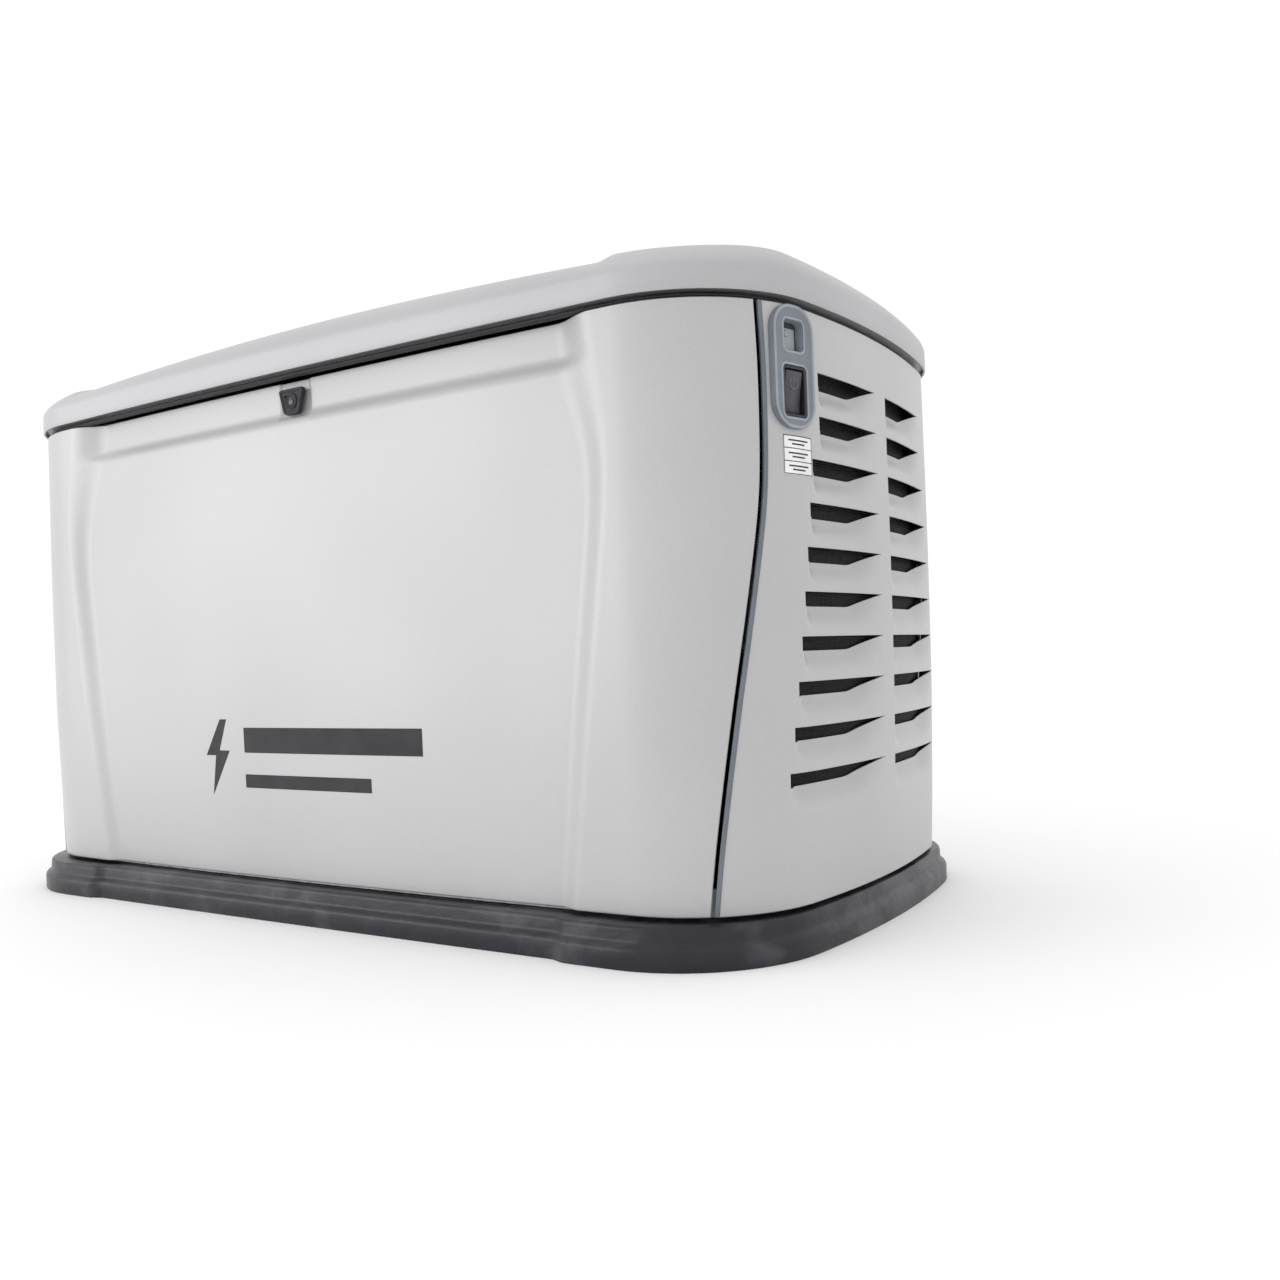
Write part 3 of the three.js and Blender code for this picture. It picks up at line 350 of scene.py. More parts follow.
# %% Metals
def galvanised():
    finish = Finish("galvanised", (0.42, 0.43, 0.45), 0.42, metallic=0.85)
    spangle = finish.cells(11 * MM)
    finish.into(finish.ramp(spangle, [(0.2, (0.33, 0.34, 0.36)), (0.8, (0.52, 0.53, 0.55))]), "Base Color")
    finish.into(finish.spread(spangle, 0.34, 0.52, 0.2, 0.8), "Roughness")
    finish.bump((finish.noise(1.5 * MM), 0.02 * MM))
    return keep(finish)


def cast(name, colour, metallic, roughness):
    finish = Finish(name, colour, roughness, metallic)
    grain = finish.noise(1.6 * MM, detail=4.0)
    stain = finish.noise(60 * MM, detail=4.0)
    low, high = shades(colour, 0.78, 1.12)
    finish.into(finish.ramp(stain, [(0.3, low), (0.7, high)]), "Base Color")
    finish.into(finish.spread(stain, roughness - 0.08, roughness + 0.1), "Roughness")
    finish.bump((grain, 0.18 * MM))
    return keep(finish)


def brushed(name, colour, roughness, stretch):
    finish = Finish(name, colour, roughness, metallic=0.95)
    lines = finish.noise(0.5 * MM, detail=3.0, stretch=stretch)
    low, high = shades(colour, 0.85, 1.1)
    finish.into(finish.ramp(lines, [(0.3, low), (0.7, high)]), "Base Color")
    finish.into(finish.spread(lines, roughness - 0.08, roughness + 0.12), "Roughness")
    finish.bump((lines, 0.01 * MM))
    return keep(finish)


def heat_tinted():
    finish = Finish("hot_steel", (0.32, 0.28, 0.25), 0.5, metallic=0.85)
    tint = finish.noise(90 * MM, detail=5.0)
    finish.into(finish.ramp(tint,
                            [(0.25, (0.20, 0.15, 0.12)), (0.45, (0.36, 0.31, 0.27)),
                             (0.62, (0.42, 0.41, 0.40)),
                                   (0.8, (0.24, 0.22, 0.26))]), "Base Color")
    finish.into(finish.spread(tint, 0.38, 0.62), "Roughness")
    finish.bump((finish.noise(2 * MM, detail=3.0), 0.08 * MM))
    return keep(finish)


galvanised()
heat_tinted()
cast("cast_aluminium", (0.40, 0.41, 0.42), 0.8, 0.5)
cast("engine_black", (0.022, 0.022, 0.024), 0.1, 0.38)
cast("filter_paint", (0.74, 0.74, 0.72), 0.0, 0.3)
brushed("steel", (0.50, 0.51, 0.52), 0.32, (0.05, 1, 1))
brushed("copper", (0.55, 0.23, 0.10), 0.3, (1, 0.2, 0.2))
print("all finishes:", len(finishes))

# %% [markdown]
# ## Shapes in millimetres
# Sheet metal and mouldings are thought of in millimetres, so a Shape collects points in millimetres and
# only the finished piece is turned into metres. Nearly everything here is a grid of points: rows that
# follow each other along a path, across a wall or up a stack of rings. A grid is quick to reason about, its
# faces are clean quads, and the way round that its points run decides which side faces out.

# %% The Shape class
def show(name, mesh, body, replaces=(), sharp=35, bevel=0.0, corner=40):
    """Puts a finished mesh on its body; edges turned by more than corner degrees get the bevel."""
    mesh.shade_smooth()
    mesh.set_sharp_from_angle(angle=math.radians(sharp))
    piece = bpy.data.objects.new(name, mesh)
    bpy.context.scene.collection.objects.link(piece)
    if bevel:
        rounder = piece.modifiers.new("edges", "BEVEL")
        rounder.width = bevel * MM
        rounder.segments = 2
        rounder.limit_method = "ANGLE"
        rounder.angle_limit = math.radians(corner)
    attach(piece, body)
    if replaces:
        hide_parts(*replaces)
    made[name] = len(mesh.polygons)
    return piece


class Shape:
    def __init__(self):
        self.points = []
        self.faces = []

    def add(self, points, faces, place=None):
        start = len(self.points)
        move = place if callable(place) or place is None else place.__matmul__
        self.points += [move(Vector(p)) if move else Vector(p) for p in points]
        self.faces += [[start + i for i in face] for face in faces]
        return self

    def grid(self, rows, wrap=False, skip=None, place=None):
        """Quads between rows of equal length. Faces look towards (along the row) x (to the next row)."""
        width = len(rows[0])
        last = width if wrap else width - 1
        faces = [(j * width + i, j * width + (i + 1) % width, (j + 1) * width + (i + 1) % width,
                  (j + 1) * width + i)
                 for j in range(len(rows) - 1) for i in range(last) if not (skip and skip(i, j))]
        return self.add([p for row in rows for p in row], faces, place)

    def stack(self, rings, place=None, closed=True):
        """Rings that run anticlockwise seen from the last one, joined first to last and capped."""
        self.grid(rings, wrap=True, place=place)
        if closed:
            count = len(rings[0])
            end = len(self.points)
            start = end - count * len(rings)
            self.faces.append(list(reversed(range(start, start + count))))
            self.faces.append(list(range(end - count, end)))
        return self

    def plate(self, outline, steps, place=None):
        """A flat piece: steps are (inset, height) pairs that follow its edge from the back to the front."""
        rings = [[(x, y, height) for x, y in inset_outline(outline, inset)] for inset, height in steps]
        return self.stack(rings, place)

    def pierced(self, outline, holes, low, high, place=None):
        """A flat plate with holes right through it."""
        loops = [outline, *[list(reversed(hole)) for hole in holes]]
        flat = [p for loop in loops for p in loop]
        triangles = [list(t) for t in tessellate_polygon([[Vector((x, y, 0)) for x, y in loop]
                                                          for loop in loops])]
        count = len(flat)
        up = []
        for a, b, c in triangles:
            area = (flat[b][0] - flat[a][0]) * (flat[c][1] - flat[a][1])
            area -= (flat[b][1] - flat[a][1]) * (flat[c][0] - flat[a][0])
            up.append((a, b, c) if area > 0 else (a, c, b))
        faces = [tuple(i + count for i in face) for face in up] + [tuple(reversed(face)) for face in up]
        start = 0
        for loop in loops:
            size = len(loop)
            for i in range(size):
                a, b = start + i, start + (i + 1) % size
                faces.append((a, b, b + count, a + count))
            start += size
        return self.add([(x, y, low) for x, y in flat] + [(x, y, high) for x, y in flat], faces, place)

    def turned(self, profile, place=None, steps=48):
        """A lathe about Z of (radius, height) pairs from the foot to the top; radius 0 closes on the axis."""
        rings = [[(radius * math.cos(2 * math.pi * i / steps), radius * math.sin(2 * math.pi * i / steps),
                   height)
                  for i in range(steps)] for radius, height in profile]
        return self.stack(rings, place)

    def piece(self, name, finish, body, replaces=(), slot=None, sharp=35, bevel=0.0):
        """Makes the piece in metres, merges what touches, and lets it ride on its body."""
        mesh = bpy.data.meshes.new(name)
        mesh.from_pydata([p * MM for p in self.points], [], self.faces)
        work = bmesh.new()
        work.from_mesh(mesh)
        bmesh.ops.remove_doubles(work, verts=work.verts, dist=0.004 * MM)
        bmesh.ops.dissolve_degenerate(work, edges=work.edges, dist=0.002 * MM)
        work.to_mesh(mesh)
        work.free()
        mesh.materials.append(finishes[finish])
        return show(name, mesh, body, replaces, sharp, bevel)


made = {}

# %% [markdown]
# A few outlines and routes are needed everywhere: a rounded rectangle, an outline moved in along its own
# normals, and a smooth route through a handful of points.

# %% Outlines and routes
def rounded_rectangle(width, height, radius, steps=8):
    points = []
    for corner in range(4):
        cx = (1 if corner in (0, 3) else -1) * (width / 2 - radius)
        cy = (1 if corner < 2 else -1) * (height / 2 - radius)
        for i in range(steps + 1):
            angle = (corner + i / steps) * math.pi / 2
            points.append((cx + radius * math.cos(angle), cy + radius * math.sin(angle)))
    return points


def inset_outline(outline, inset):
    """Moves each point in along the outline's own normal; the outline runs anticlockwise."""
    if not inset:
        return list(outline)
    moved = []
    for i, (x, y) in enumerate(outline):
        before = Vector(outline[i - 1])
        after = Vector(outline[(i + 1) % len(outline)])
        here = Vector((x, y))
        first = (here - before).normalized()
        second = (after - here).normalized()
        along = (first + second).normalized()
        stretch = 1 / max(along.dot(second), 0.5)
        moved.append((x - along.y * inset * stretch, y + along.x * inset * stretch))
    return moved


def smooth_route(points, steps=10):
    """A Catmull-Rom curve through the points."""
    knots = [Vector(p) for p in points]
    knots = [knots[0] * 2 - knots[1], *knots, knots[-1] * 2 - knots[-2]]
    path = []
    for i in range(1, len(knots) - 2):
        a, b, c, d = knots[i - 1:i + 3]
        for k in range(steps):
            t = k / steps
            path.append(0.5 * (2 * b + (c - a) * t + (2 * a - 5 * b + 4 * c - d) * t * t
                               + (3 * b - a - 3 * c + d) * t ** 3))
    return [*path, knots[-2]]


def spread(start, end, count):
    """count steps from start, without the end."""
    return [start + (end - start) * i / count for i in range(count)]


def smoothstep(t):
    t = min(max(t, 0.0), 1.0)
    return t * t * (3 - 2 * t)


print("a 10 x 6 rectangle has", len(rounded_rectangle(10, 6, 2)), "points")

# %% [markdown]
# ## The housing's plan and walls
# Seen from above the housing is a bowed rectangle: long flat arcs along the sides, corners of 155 mm
# radius, and the arcs are tangent where they meet. A point on it is named by its arc length from the front
# centre. The wall stands a little inside that line, by an amount that changes with height, and the front
# has a shallow recess between its two corner columns. Everything that lies on the wall, down to a sticker,
# is placed with the same two functions.

# %% Plan outline
class Plan:
    def __init__(self, half_length, half_width, bow_long, bow_short, corner):
        long_radius = ((half_length - corner) ** 2 + bow_long ** 2) / (2 * bow_long)
        short_radius = ((half_width - corner) ** 2 + bow_short ** 2) / (2 * bow_short)
        long_y = long_radius - half_width
        short_x = half_length - short_radius
        reach_long, reach_short = long_radius - corner, short_radius - corner
        span = math.hypot(short_x, long_y)
        along = (reach_long ** 2 - reach_short ** 2 + span ** 2) / (2 * span)
        across = math.sqrt(reach_long ** 2 - along ** 2)
        ux, uy = short_x / span, -long_y / span
        centres = [(along * ux - side * across * uy, long_y + along * uy + side * across * ux)
                   for side in (1, -1)]
        corner_x, corner_y = next(c for c in centres if c[0] > 0 > c[1])
        self.corner = corner
        self.angle_long = math.atan2(corner_y - long_y, corner_x)
        self.angle_short = math.atan2(corner_y, corner_x - short_x)
        self.length_long = (self.angle_long + math.pi / 2) * long_radius
        length_corner = (self.angle_short - self.angle_long) * corner
        self.quarter = self.length_long + length_corner - self.angle_short * short_radius
        self.arcs = [(self.length_long, 0, long_y, long_radius, -math.pi / 2, 0),
                     (self.length_long + length_corner, corner_x, corner_y, corner, self.angle_long,
                      self.length_long),
                     (self.quarter + 1, short_x, 0, short_radius, 0, self.quarter)]

    def at(self, s):
        """Point and outward direction at arc length s, as (x, y, nx, ny)."""
        beyond = abs(s) > self.quarter
        t = 2 * self.quarter - abs(s) if beyond else abs(s)
        end, cx, cy, radius, angle, start = next(arc for arc in self.arcs if t <= arc[0])
        turn = angle + (t - start) / radius
        flip_x, flip_y = (-1 if s < 0 else 1), (-1 if beyond else 1)
        nx, ny = math.cos(turn), math.sin(turn)
        return (cx + radius * nx) * flip_x, (cy + radius * ny) * flip_y, nx * flip_x, ny * flip_y

    def at_corner_angle(self, degrees):
        return self.length_long + (math.radians(degrees) - self.angle_long) * self.corner


HALF_LENGTH = lid_high.x / MM
lid_plan = Plan(HALF_LENGTH, 313, 9, 11, 155)
pad_plan = Plan(606, 324, 3, 10, 155)
print(f"one quarter of the lid's outline is {lid_plan.quarter:.0f} mm long")

# %% Wall surface
PANEL_BOTTOM, PANEL_TOP = round(panel_low.z / MM), round(panel_high.z / MM)
LID_BOTTOM = 632
WALL_INSET = [(44, 14), (120, 10.5), (250, 6.5), (420, 5), (626, 5.5)]
RECESS_FOOT = [(44, 359), (250, 384), (440, 409), (500, 405), (575, 376), (626, 373)]
RECESS_EDGE = [(44, 386), (250, 416), (440, 441), (500, 444), (585, 434), (626, 428)]
RECESS_DEPTH = [(44, 9), (460, 12), (576, 14), (590, 21.5), (626, 20)]
SEAM_ANGLE = [(44, -56), (100, -53.5), (173, -49.3), (247, -44.7), (322, -39.4), (397, -34.4), (435, -32.2),
              (470, -31.2), (530, -30.7), (570, -30.7), (626, -31.5)]


def read_table(table, z):
    if z <= table[0][0]:
        return table[0][1]
    for (z0, v0), (z1, v1) in zip(table, table[1:]):
        if z <= z1:
            return v0 + (v1 - v0) * (z - z0) / (z1 - z0)
    return table[-1][1]


def eased(table, z, blur):
    """The table read with its corners rounded off, over blur millimetres each way."""
    offsets = (-1, -0.75, -0.5, -0.25, 0, 0.25, 0.5, 0.75, 1)
    low, high = table[0][0], table[-1][0]
    room = min(blur, z - low, high - z)
    return sum(read_table(table, z + o * max(room, 0)) for o in offsets) / len(offsets)


def wall_inset(s, z):
    return eased(WALL_INSET, z, 40)


def front_inset(s, z):
    foot, edge = eased(RECESS_FOOT, z, 30), eased(RECESS_EDGE, z, 30)
    return wall_inset(s, z) + eased(RECESS_DEPTH, z, 4.5) * (1 - smoothstep((abs(s) - foot) / (edge - foot)))


def wall_point(s, z, inward, plan=lid_plan):
    x, y, nx, ny = plan.at(s)
    return Vector((x - nx * inward, y - ny * inward, z))


def seam_at(z):
    return lid_plan.at_corner_angle(eased(SEAM_ANGLE, z, 22))


def mirror_y(point):
    return Vector((point.x, -point.y, point.z))


def mirror_x(point):
    return Vector((-point.x, point.y, point.z))


def panel_shell(shape, rows, inset_at, thickness, skip=None, turn=None, roll=1.2):
    """A sheet with a real thickness and rolled edges, from rows of (s, z) that rise from the foot.

    The outside, the edge and the inside are one closed skin. skip(i, j) leaves a face out, and its edges are
    walled off.
    """
    turn = turn or (lambda p: p)
    flip = turn(Vector((0, 1, 0))).y < 0 or turn(Vector((1, 0, 0))).x < 0
    height, width = len(rows), len(rows[0])

    def point(j, i, depth):
        s, z = rows[j][i]
        border = j in (0, height - 1) or i in (0, width - 1)
        return turn(wall_point(s, z, inset_at(s, z) + max(depth, roll if border else 0)))

    points = [point(j, i, 0) for j in range(height) for i in range(width)]
    points += [point(j, i, thickness) for j in range(height) for i in range(width)]
    inner = height * width
    faces = []
    sides = {}

    def quad(a, b, c, d):
        faces.append((d, c, b, a) if flip else (a, b, c, d))

    for j in range(height - 1):
        for i in range(width - 1):
            if skip and skip(i, j):
                continue
            a, b = j * width + i, j * width + i + 1
            c, d = b + width, a + width
            quad(a, b, c, d)
            quad(inner + d, inner + c, inner + b, inner + a)
            for edge in ((a, b), (b, c), (c, d), (d, a)):
                if edge[::-1] in sides:
                    del sides[edge[::-1]]
                else:
                    sides[edge] = True
    for a, b in sides:
        quad(b, a, inner + a, inner + b)
    return shape.add(points, faces)


front_middle = wall_point(0, 300, front_inset(0, 300))
print(f"the wall at the front centre, 300 mm up, stands at y = {front_middle.y:.1f} mm")

# %% [markdown]
# ## The front and rear panels
# Each is one sheet that wraps round both corners and comes off towards the front or the back; here only the
# front one rides on a body of its own, and the rear one rides on the base. The front one is pressed: its
# middle lies some 10 mm back from the corner columns, and 8 mm further back above a soft crease, where a
# small pocket holds the lock. The rows of the grid crowd together at the crease, at the pocket and at the
# rolled edges, so that a radius of a few millimetres is really there to catch the light.

# %% Front and rear panels
SEAM_GAP = 5
SKIN = 1.6
POCKET = {"half": 27, "low": 581, "depth": 2.4, "soft": 5}


def densify(stops):
    """[(value, steps to the next), ...] as one list of values."""
    values = []
    for (start, count), (end, _) in zip(stops, stops[1:]):
        values += spread(start, end, count)
    return [*values, stops[-1][0]]


def pocket_depth(s, z):
    side = smoothstep((POCKET["half"] - abs(s)) / POCKET["soft"])
    foot = smoothstep((z - POCKET["low"]) / POCKET["soft"])
    return POCKET["depth"] * side * foot


def half_stations(z, detailed):
    seam = seam_at(z) - SEAM_GAP / 2
    if not detailed:
        return densify([(0, 10), (400, 24), (seam - 2, 2), (seam, 0)])
    foot, edge = eased(RECESS_FOOT, z, 30), eased(RECESS_EDGE, z, 30)
    return densify([(0, 4), (20, 6), (29, 16), (foot - 3, 2), (foot, 12), (edge, 2), (edge + 3, 24),
                    (seam - 2, 2),
                    (seam, 0)])


def panel_rows(heights, detailed):
    rows = []
    for z in heights:
        half = half_stations(z, detailed)
        rows.append([(s, z) for s in [-s for s in reversed(half[1:])] + half])
    return rows


front_heights = densify([(PANEL_BOTTOM, 2), (PANEL_BOTTOM + 2, 40), (568, 20), (592, 14), (624, 2),
                         (PANEL_TOP, 0)])
front = Shape()
panel_shell(front, panel_rows(front_heights, True), lambda s, z: front_inset(s, z) + pocket_depth(s, z), SKIN)
front.piece("front_panel_skin", "paint_panel", "front_panel", ["front_panel"], sharp=50)

rear_heights = densify([(PANEL_BOTTOM, 2), (PANEL_BOTTOM + 2, 36), (624, 2), (PANEL_TOP, 0)])
rear = Shape()
panel_shell(rear, panel_rows(rear_heights, False), wall_inset, SKIN, turn=mirror_y)
rear.piece("rear_panel_skin", "paint_panel", "base", ["rear_panel"], sharp=50)
print("front panel faces:", made["front_panel_skin"], " rear panel faces:", made["rear_panel_skin"])

# %% [markdown]
# ## The louvred ends
# Air is drawn in through two columns of ten louvres. Each is a slit cut in the sheet, square at its front
# and drawn to a point at its rear, and the metal under the slit is pressed in so that rain runs off
# outside. Cutting such holes with booleans leaves a ragged mesh. Here the grid itself is warped instead:
# one row of points runs along each slit's upper edge, the next along its lower edge, and the faces between
# them are simply not made.

# %% Louvred end panels
LOUVRE = {"rows": 10, "top": 567, "pitch": 43.7, "opening": 14, "press": 11, "blend": 27, "middle": 15}
CLOSED = 0.4                  # how far apart a slit's two rows of points are where it is shut


def louvre_reach(z):
    return read_table([(44, 229), (479, 162), (523, 146), (626, 146)], z)


def station_of_y(y):
    """Arc length of the end wall's point at this y."""
    low, high = lid_plan.quarter - 330, lid_plan.quarter + 330
    for _ in range(30):
        middle = (low + high) / 2
        low, high = (middle, high) if lid_plan.at(middle)[1] < y else (low, middle)
    return (low + high) / 2


@functools.cache
def louvre_spans(z):
    """(front end, rear end) of both louvre columns at this height, as arc lengths."""
    reach = louvre_reach(z)
    return [(station_of_y(-reach), station_of_y(-LOUVRE["middle"])),
            (station_of_y(LOUVRE["middle"]), station_of_y(reach))]


def slit_share(s, z):
    """0 at a slit's square front end, 1 at its point, and None beside it."""
    for start, end in louvre_spans(z):
        if start - 0.01 <= s <= end + 0.01:
            return (s - start) / (end - start)
    return None


def slit_height(share):
    if share is None:
        return CLOSED
    point = 1 - smoothstep((share - 0.55) / 0.45) * 0.35 - max(share - 0.62, 0) / 0.38 * 0.65
    return max(LOUVRE["opening"] * point, CLOSED)


def press_depth(s, z):
    """How far the metal is pressed in under the slit above this point."""
    row = math.ceil((LOUVRE["top"] - z) / LOUVRE["pitch"] - 1e-6) - 1
    if not 0 <= row < LOUVRE["rows"]:
        return 0
    slit = LOUVRE["top"] - row * LOUVRE["pitch"]
    share = slit_share(s, slit)
    if share is None or z > slit - 0.01:
        return 0
    ends = smoothstep(share / 0.1) * smoothstep((1 - share) / 0.34)
    below = slit - slit_height(share) - z
    return LOUVRE["press"] * ends * (1 - smoothstep(below / LOUVRE["blend"]))


slits = [LOUVRE["top"] - row * LOUVRE["pitch"] for row in range(LOUVRE["rows"])]
SHARES = [0, 0.02, 0.045, 0.07, 0.1, 0.16, 0.25, 0.36, 0.48, 0.55, 0.6, 0.65, 0.7, 0.75, 0.8, 0.85, 0.9,
          0.94, 0.97, 1]


def end_stations(z, slit=None):
    """Stations across the end at height z; the ones at the louvres are those of the given slit's height."""
    seam = seam_at(z) + SEAM_GAP / 2
    spans = louvre_spans(slit or z)
    values = densify([(seam, 2), (seam + 2, 22), (spans[0][0] - 0.5, 0)])
    for k, (start, end) in enumerate(spans):
        values += [start + share * (end - start) for share in SHARES]
        values += densify([(end + 0.5, 3), (spans[1][0] - 0.5, 0)]) if k == 0 else []
    far = 2 * lid_plan.quarter - seam
    return values + densify([(spans[1][1] + 0.5, 22), (far - 2, 2), (far, 0)])


def end_rows():
    """Rows from the foot up. Between two slits the rows lean, so that they follow the slit's lower edge."""
    rows = [[(s, z) for s in end_stations(z)]
            for z in densify([(PANEL_BOTTOM, 2), (PANEL_BOTTOM + 2, 14), (128, 0)])]
    lower_edges = []
    for slit in reversed(slits):
        foot = rows[-1][0][1] + 2.5
        for share in (0, 0.12, 0.25, 0.38, 0.5, 0.62, 0.74, 0.86, 1):
            stations = end_stations(foot + (slit - CLOSED - foot) * share, slit)
            lower = [slit - slit_height(slit_share(s, slit)) for s in stations]
            rows.append([(s, foot + (z - foot) * share) for s, z in zip(stations, lower)])
        lower_edges.append(len(rows) - 1)
        rows.append([(s, slit) for s in end_stations(slit, slit)])
    rows += [[(s, z) for s in end_stations(z)] for z in densify([(570, 16), (624, 2), (PANEL_TOP, 0)])]
    return rows, set(lower_edges)


louvre_rows, slit_rows = end_rows()
first_slit = 2 + 22 + 1
slit_columns = set()
for start in (first_slit, first_slit + len(SHARES) + 4):
    slit_columns |= set(range(start, start + len(SHARES) - 1))
print(len(louvre_rows), "rows,", len(louvre_rows[0]), "stations,", len(slit_rows), "slits in each column")

# %% [markdown]
# Near the top front of the intake end a bezel frames the status window and the emergency stop. It gets a
# frame of its own, a small upright plane that touches the wall: x runs along the wall to the rear, y up,
# and z out.

# %% The two ends
def facing(origin, right, up):
    """A frame at origin whose x and y run along right and up, and whose z looks out."""
    out = Vector(right).cross(Vector(up))
    return Matrix.Translation(Vector(origin)) @ Matrix((right, up, out)).transposed().to_4x4()


def wall_frame(s, z):
    _, _, nx, ny = lid_plan.at(s)
    return facing(wall_point(s, z, wall_inset(s, z)), (-ny, nx, 0), (0, 0, 1))


BEZEL = {"s": lid_plan.quarter - 192, "z": 565, "width": 58, "height": 120, "corner": 25, "face": 4}
WINDOW = {"width": 28, "height": 30, "y": 30}
STOP = {"width": 34, "height": 50, "y": -24}
bezel_frame = wall_frame(BEZEL["s"], BEZEL["z"])
bezel_inverse = bezel_frame.inverted()


def under_bezel(i, j):
    """True for the faces behind the bezel, where the intake panel is cut away."""
    corners = [louvre_rows[j][i], louvre_rows[j][i + 1], louvre_rows[j + 1][i + 1], louvre_rows[j + 1][i]]
    for s, z in corners:
        local = bezel_inverse @ wall_point(s, z, wall_inset(s, z))
        if abs(local.x) > 22.5 or abs(local.y) > 54:
            return False
    return True


def in_slit(i, j):
    return j in slit_rows and i in slit_columns


def end_inset(s, z):
    return wall_inset(s, z) + press_depth(s, z)


intake = Shape()
panel_shell(intake, louvre_rows, end_inset, SKIN, skip=lambda i, j: in_slit(i, j) or under_bezel(i, j))
intake.piece("intake_panel_skin", "paint_panel", "intake_panel", ["intake_side_panel"], sharp=38)
exhaust = Shape()
panel_shell(exhaust, louvre_rows, end_inset, SKIN, skip=in_slit, turn=mirror_x)
exhaust.piece("exhaust_panel_skin", "paint_panel", "base", ["exhaust_side_panel"], sharp=38)
print("intake end faces:", made["intake_panel_skin"], " exhaust end faces:", made["exhaust_panel_skin"])

# %% [markdown]
# A soft extruded trim is pushed over the end panel's edge, so the seam reads as a dark gap with a blue-grey
# line beside it. It is a ribbon that follows the seam from the foot to the top, about 5 mm wide and a
# little proud.

# %% Seam trims
TRIM = {"width": 5.2, "proud": 1.1}


def seam_trim(name, body, turn, far_side):
    """far_side puts the trim on the rear seam of the same end."""
    shape = Shape()
    rows = []
    for z in densify([(PANEL_BOTTOM + 1, 60), (PANEL_TOP - 1, 0)]):
        edge = seam_at(z) + SEAM_GAP / 2 - 1.2
        profile = [(0, SKIN + 0.6), (0, -0.5), (0.6, -TRIM["proud"]), (TRIM["width"] - 1, -TRIM["proud"]),
                   (TRIM["width"], -0.3), (TRIM["width"], 0.3)]
        points = []
        for along, inward in profile:
            s = edge + along
            s = 2 * lid_plan.quarter - s if far_side else s
            points.append(turn(wall_point(s, z, wall_inset(s, z) + inward)))
        rows.append(points)
    mirrored = turn(Vector((1, 0, 0))).x < 0
    if mirrored != far_side:
        rows = [list(reversed(row)) for row in rows]
    shape.stack(rows)
    return shape.piece(name, "seam_trim", body)


moulded("seam_trim", (0.13, 0.148, 0.175), 0.45)
for side, far_side in (("front", False), ("rear", True)):
    seam_trim(f"seam_trim_intake_{side}", "intake_panel", lambda p: p, far_side)
    seam_trim(f"seam_trim_exhaust_{side}", "base", mirror_x, far_side)
print("4 seam trims of", made["seam_trim_intake_front"], "faces")

# %% [markdown]
# ## The lid
# The lid is one moulding: a straight edge 21 mm high, then a dome that is nearly an ellipse in section,
# turns over quickly at the two ends and slowly along the sides, and is arched along its length. Both end
# sections stand 5 mm higher than the middle, with a soft step between them. It is lofted from rings that
# follow the plan further and further in, and the last rings close on a line along the middle.

# %% Lid skin
LID_FASCIA, LID_CROWN, LID_ARCH, LID_RISE = 21, 73.8, 39.5, 5.3
LID_REACH_LONG, LID_REACH_SHORT, LID_CURVE, LID_SPINE = 313, 86, 2.18, 0.62
LID_SKIN = 2.6
LAST_RING = 145                                # beyond this the rings can't follow the corners any more
half_lid = densify([(0, 14), (400, 24), (470, 10), (lid_plan.quarter - 330, 34), (lid_plan.quarter, 0)])
quarter_turns = half_lid + [2 * lid_plan.quarter - s for s in reversed(half_lid[:-1])]
lid_ring_stations = quarter_turns + [-s for s in reversed(quarter_turns[1:-1])]


def lid_height(s, x, inward, lower):
    toward_end = lid_plan.at(s)[2] ** 2
    reach = LID_REACH_LONG + (LID_REACH_SHORT - LID_REACH_LONG) * toward_end
    t = min(inward / reach, 1)
    crown = LID_CROWN - LID_ARCH * (x / 600) ** 2
    rise = LID_RISE * smoothstep((abs(x) - 425) / 22) * min(inward / 25, 1)
    return LID_BOTTOM + LID_FASCIA + crown * (1 - (1 - t) ** LID_CURVE) ** (1 / LID_CURVE) + rise - lower


def lid_ring(inward, lower):
    ring = []
    for s in lid_ring_stations:
        p = wall_point(s, 0, min(inward + lower, 152))
        ring.append((p.x, p.y, lid_height(s, p.x, inward, lower)))
    return ring


def lid_rim(inset, z):
    return [wall_point(s, z, inset) for s in lid_ring_stations]


def lid_inner_ring(share, lower):
    """From the last offset ring (share 0) to the line along the middle of the lid (share 1)."""
    ring = []
    for s in lid_ring_stations:
        p = wall_point(s, 0, LAST_RING)
        x, y = p.x * (1 - share * (1 - LID_SPINE)), p.y * (1 - share)
        ring.append((x, y, lid_height(s, x, LAST_RING + share * (LID_REACH_LONG - LAST_RING), lower)))
    return ring


offsets = [LAST_RING * (1 - math.cos(math.pi / 2 * k / 26)) for k in range(27)]
shares = (0.12, 0.25, 0.4, 0.6, 0.8, 1)
outer_rings = [lid_rim(0.8, LID_BOTTOM), lid_rim(0, LID_BOTTOM + 1.2), lid_rim(0, LID_BOTTOM + 12)]
outer_rings += [lid_ring(inward, 0) for inward in offsets] + [lid_inner_ring(share, 0) for share in shares]
inner_rings = [lid_rim(LID_SKIN, LID_BOTTOM + 0.4), lid_rim(LID_SKIN, LID_BOTTOM + 12)]
inner_rings += [lid_ring(inward, LID_SKIN) for inward in offsets[::2]]
inner_rings += [lid_inner_ring(share, LID_SKIN) for share in shares]
Shape().grid([*reversed(inner_rings), *outer_rings], wrap=True).piece("lid_skin", "paint_lid", "lid",
                                                                      ["lid"], sharp=45)
print("lid faces:", made["lid_skin"])

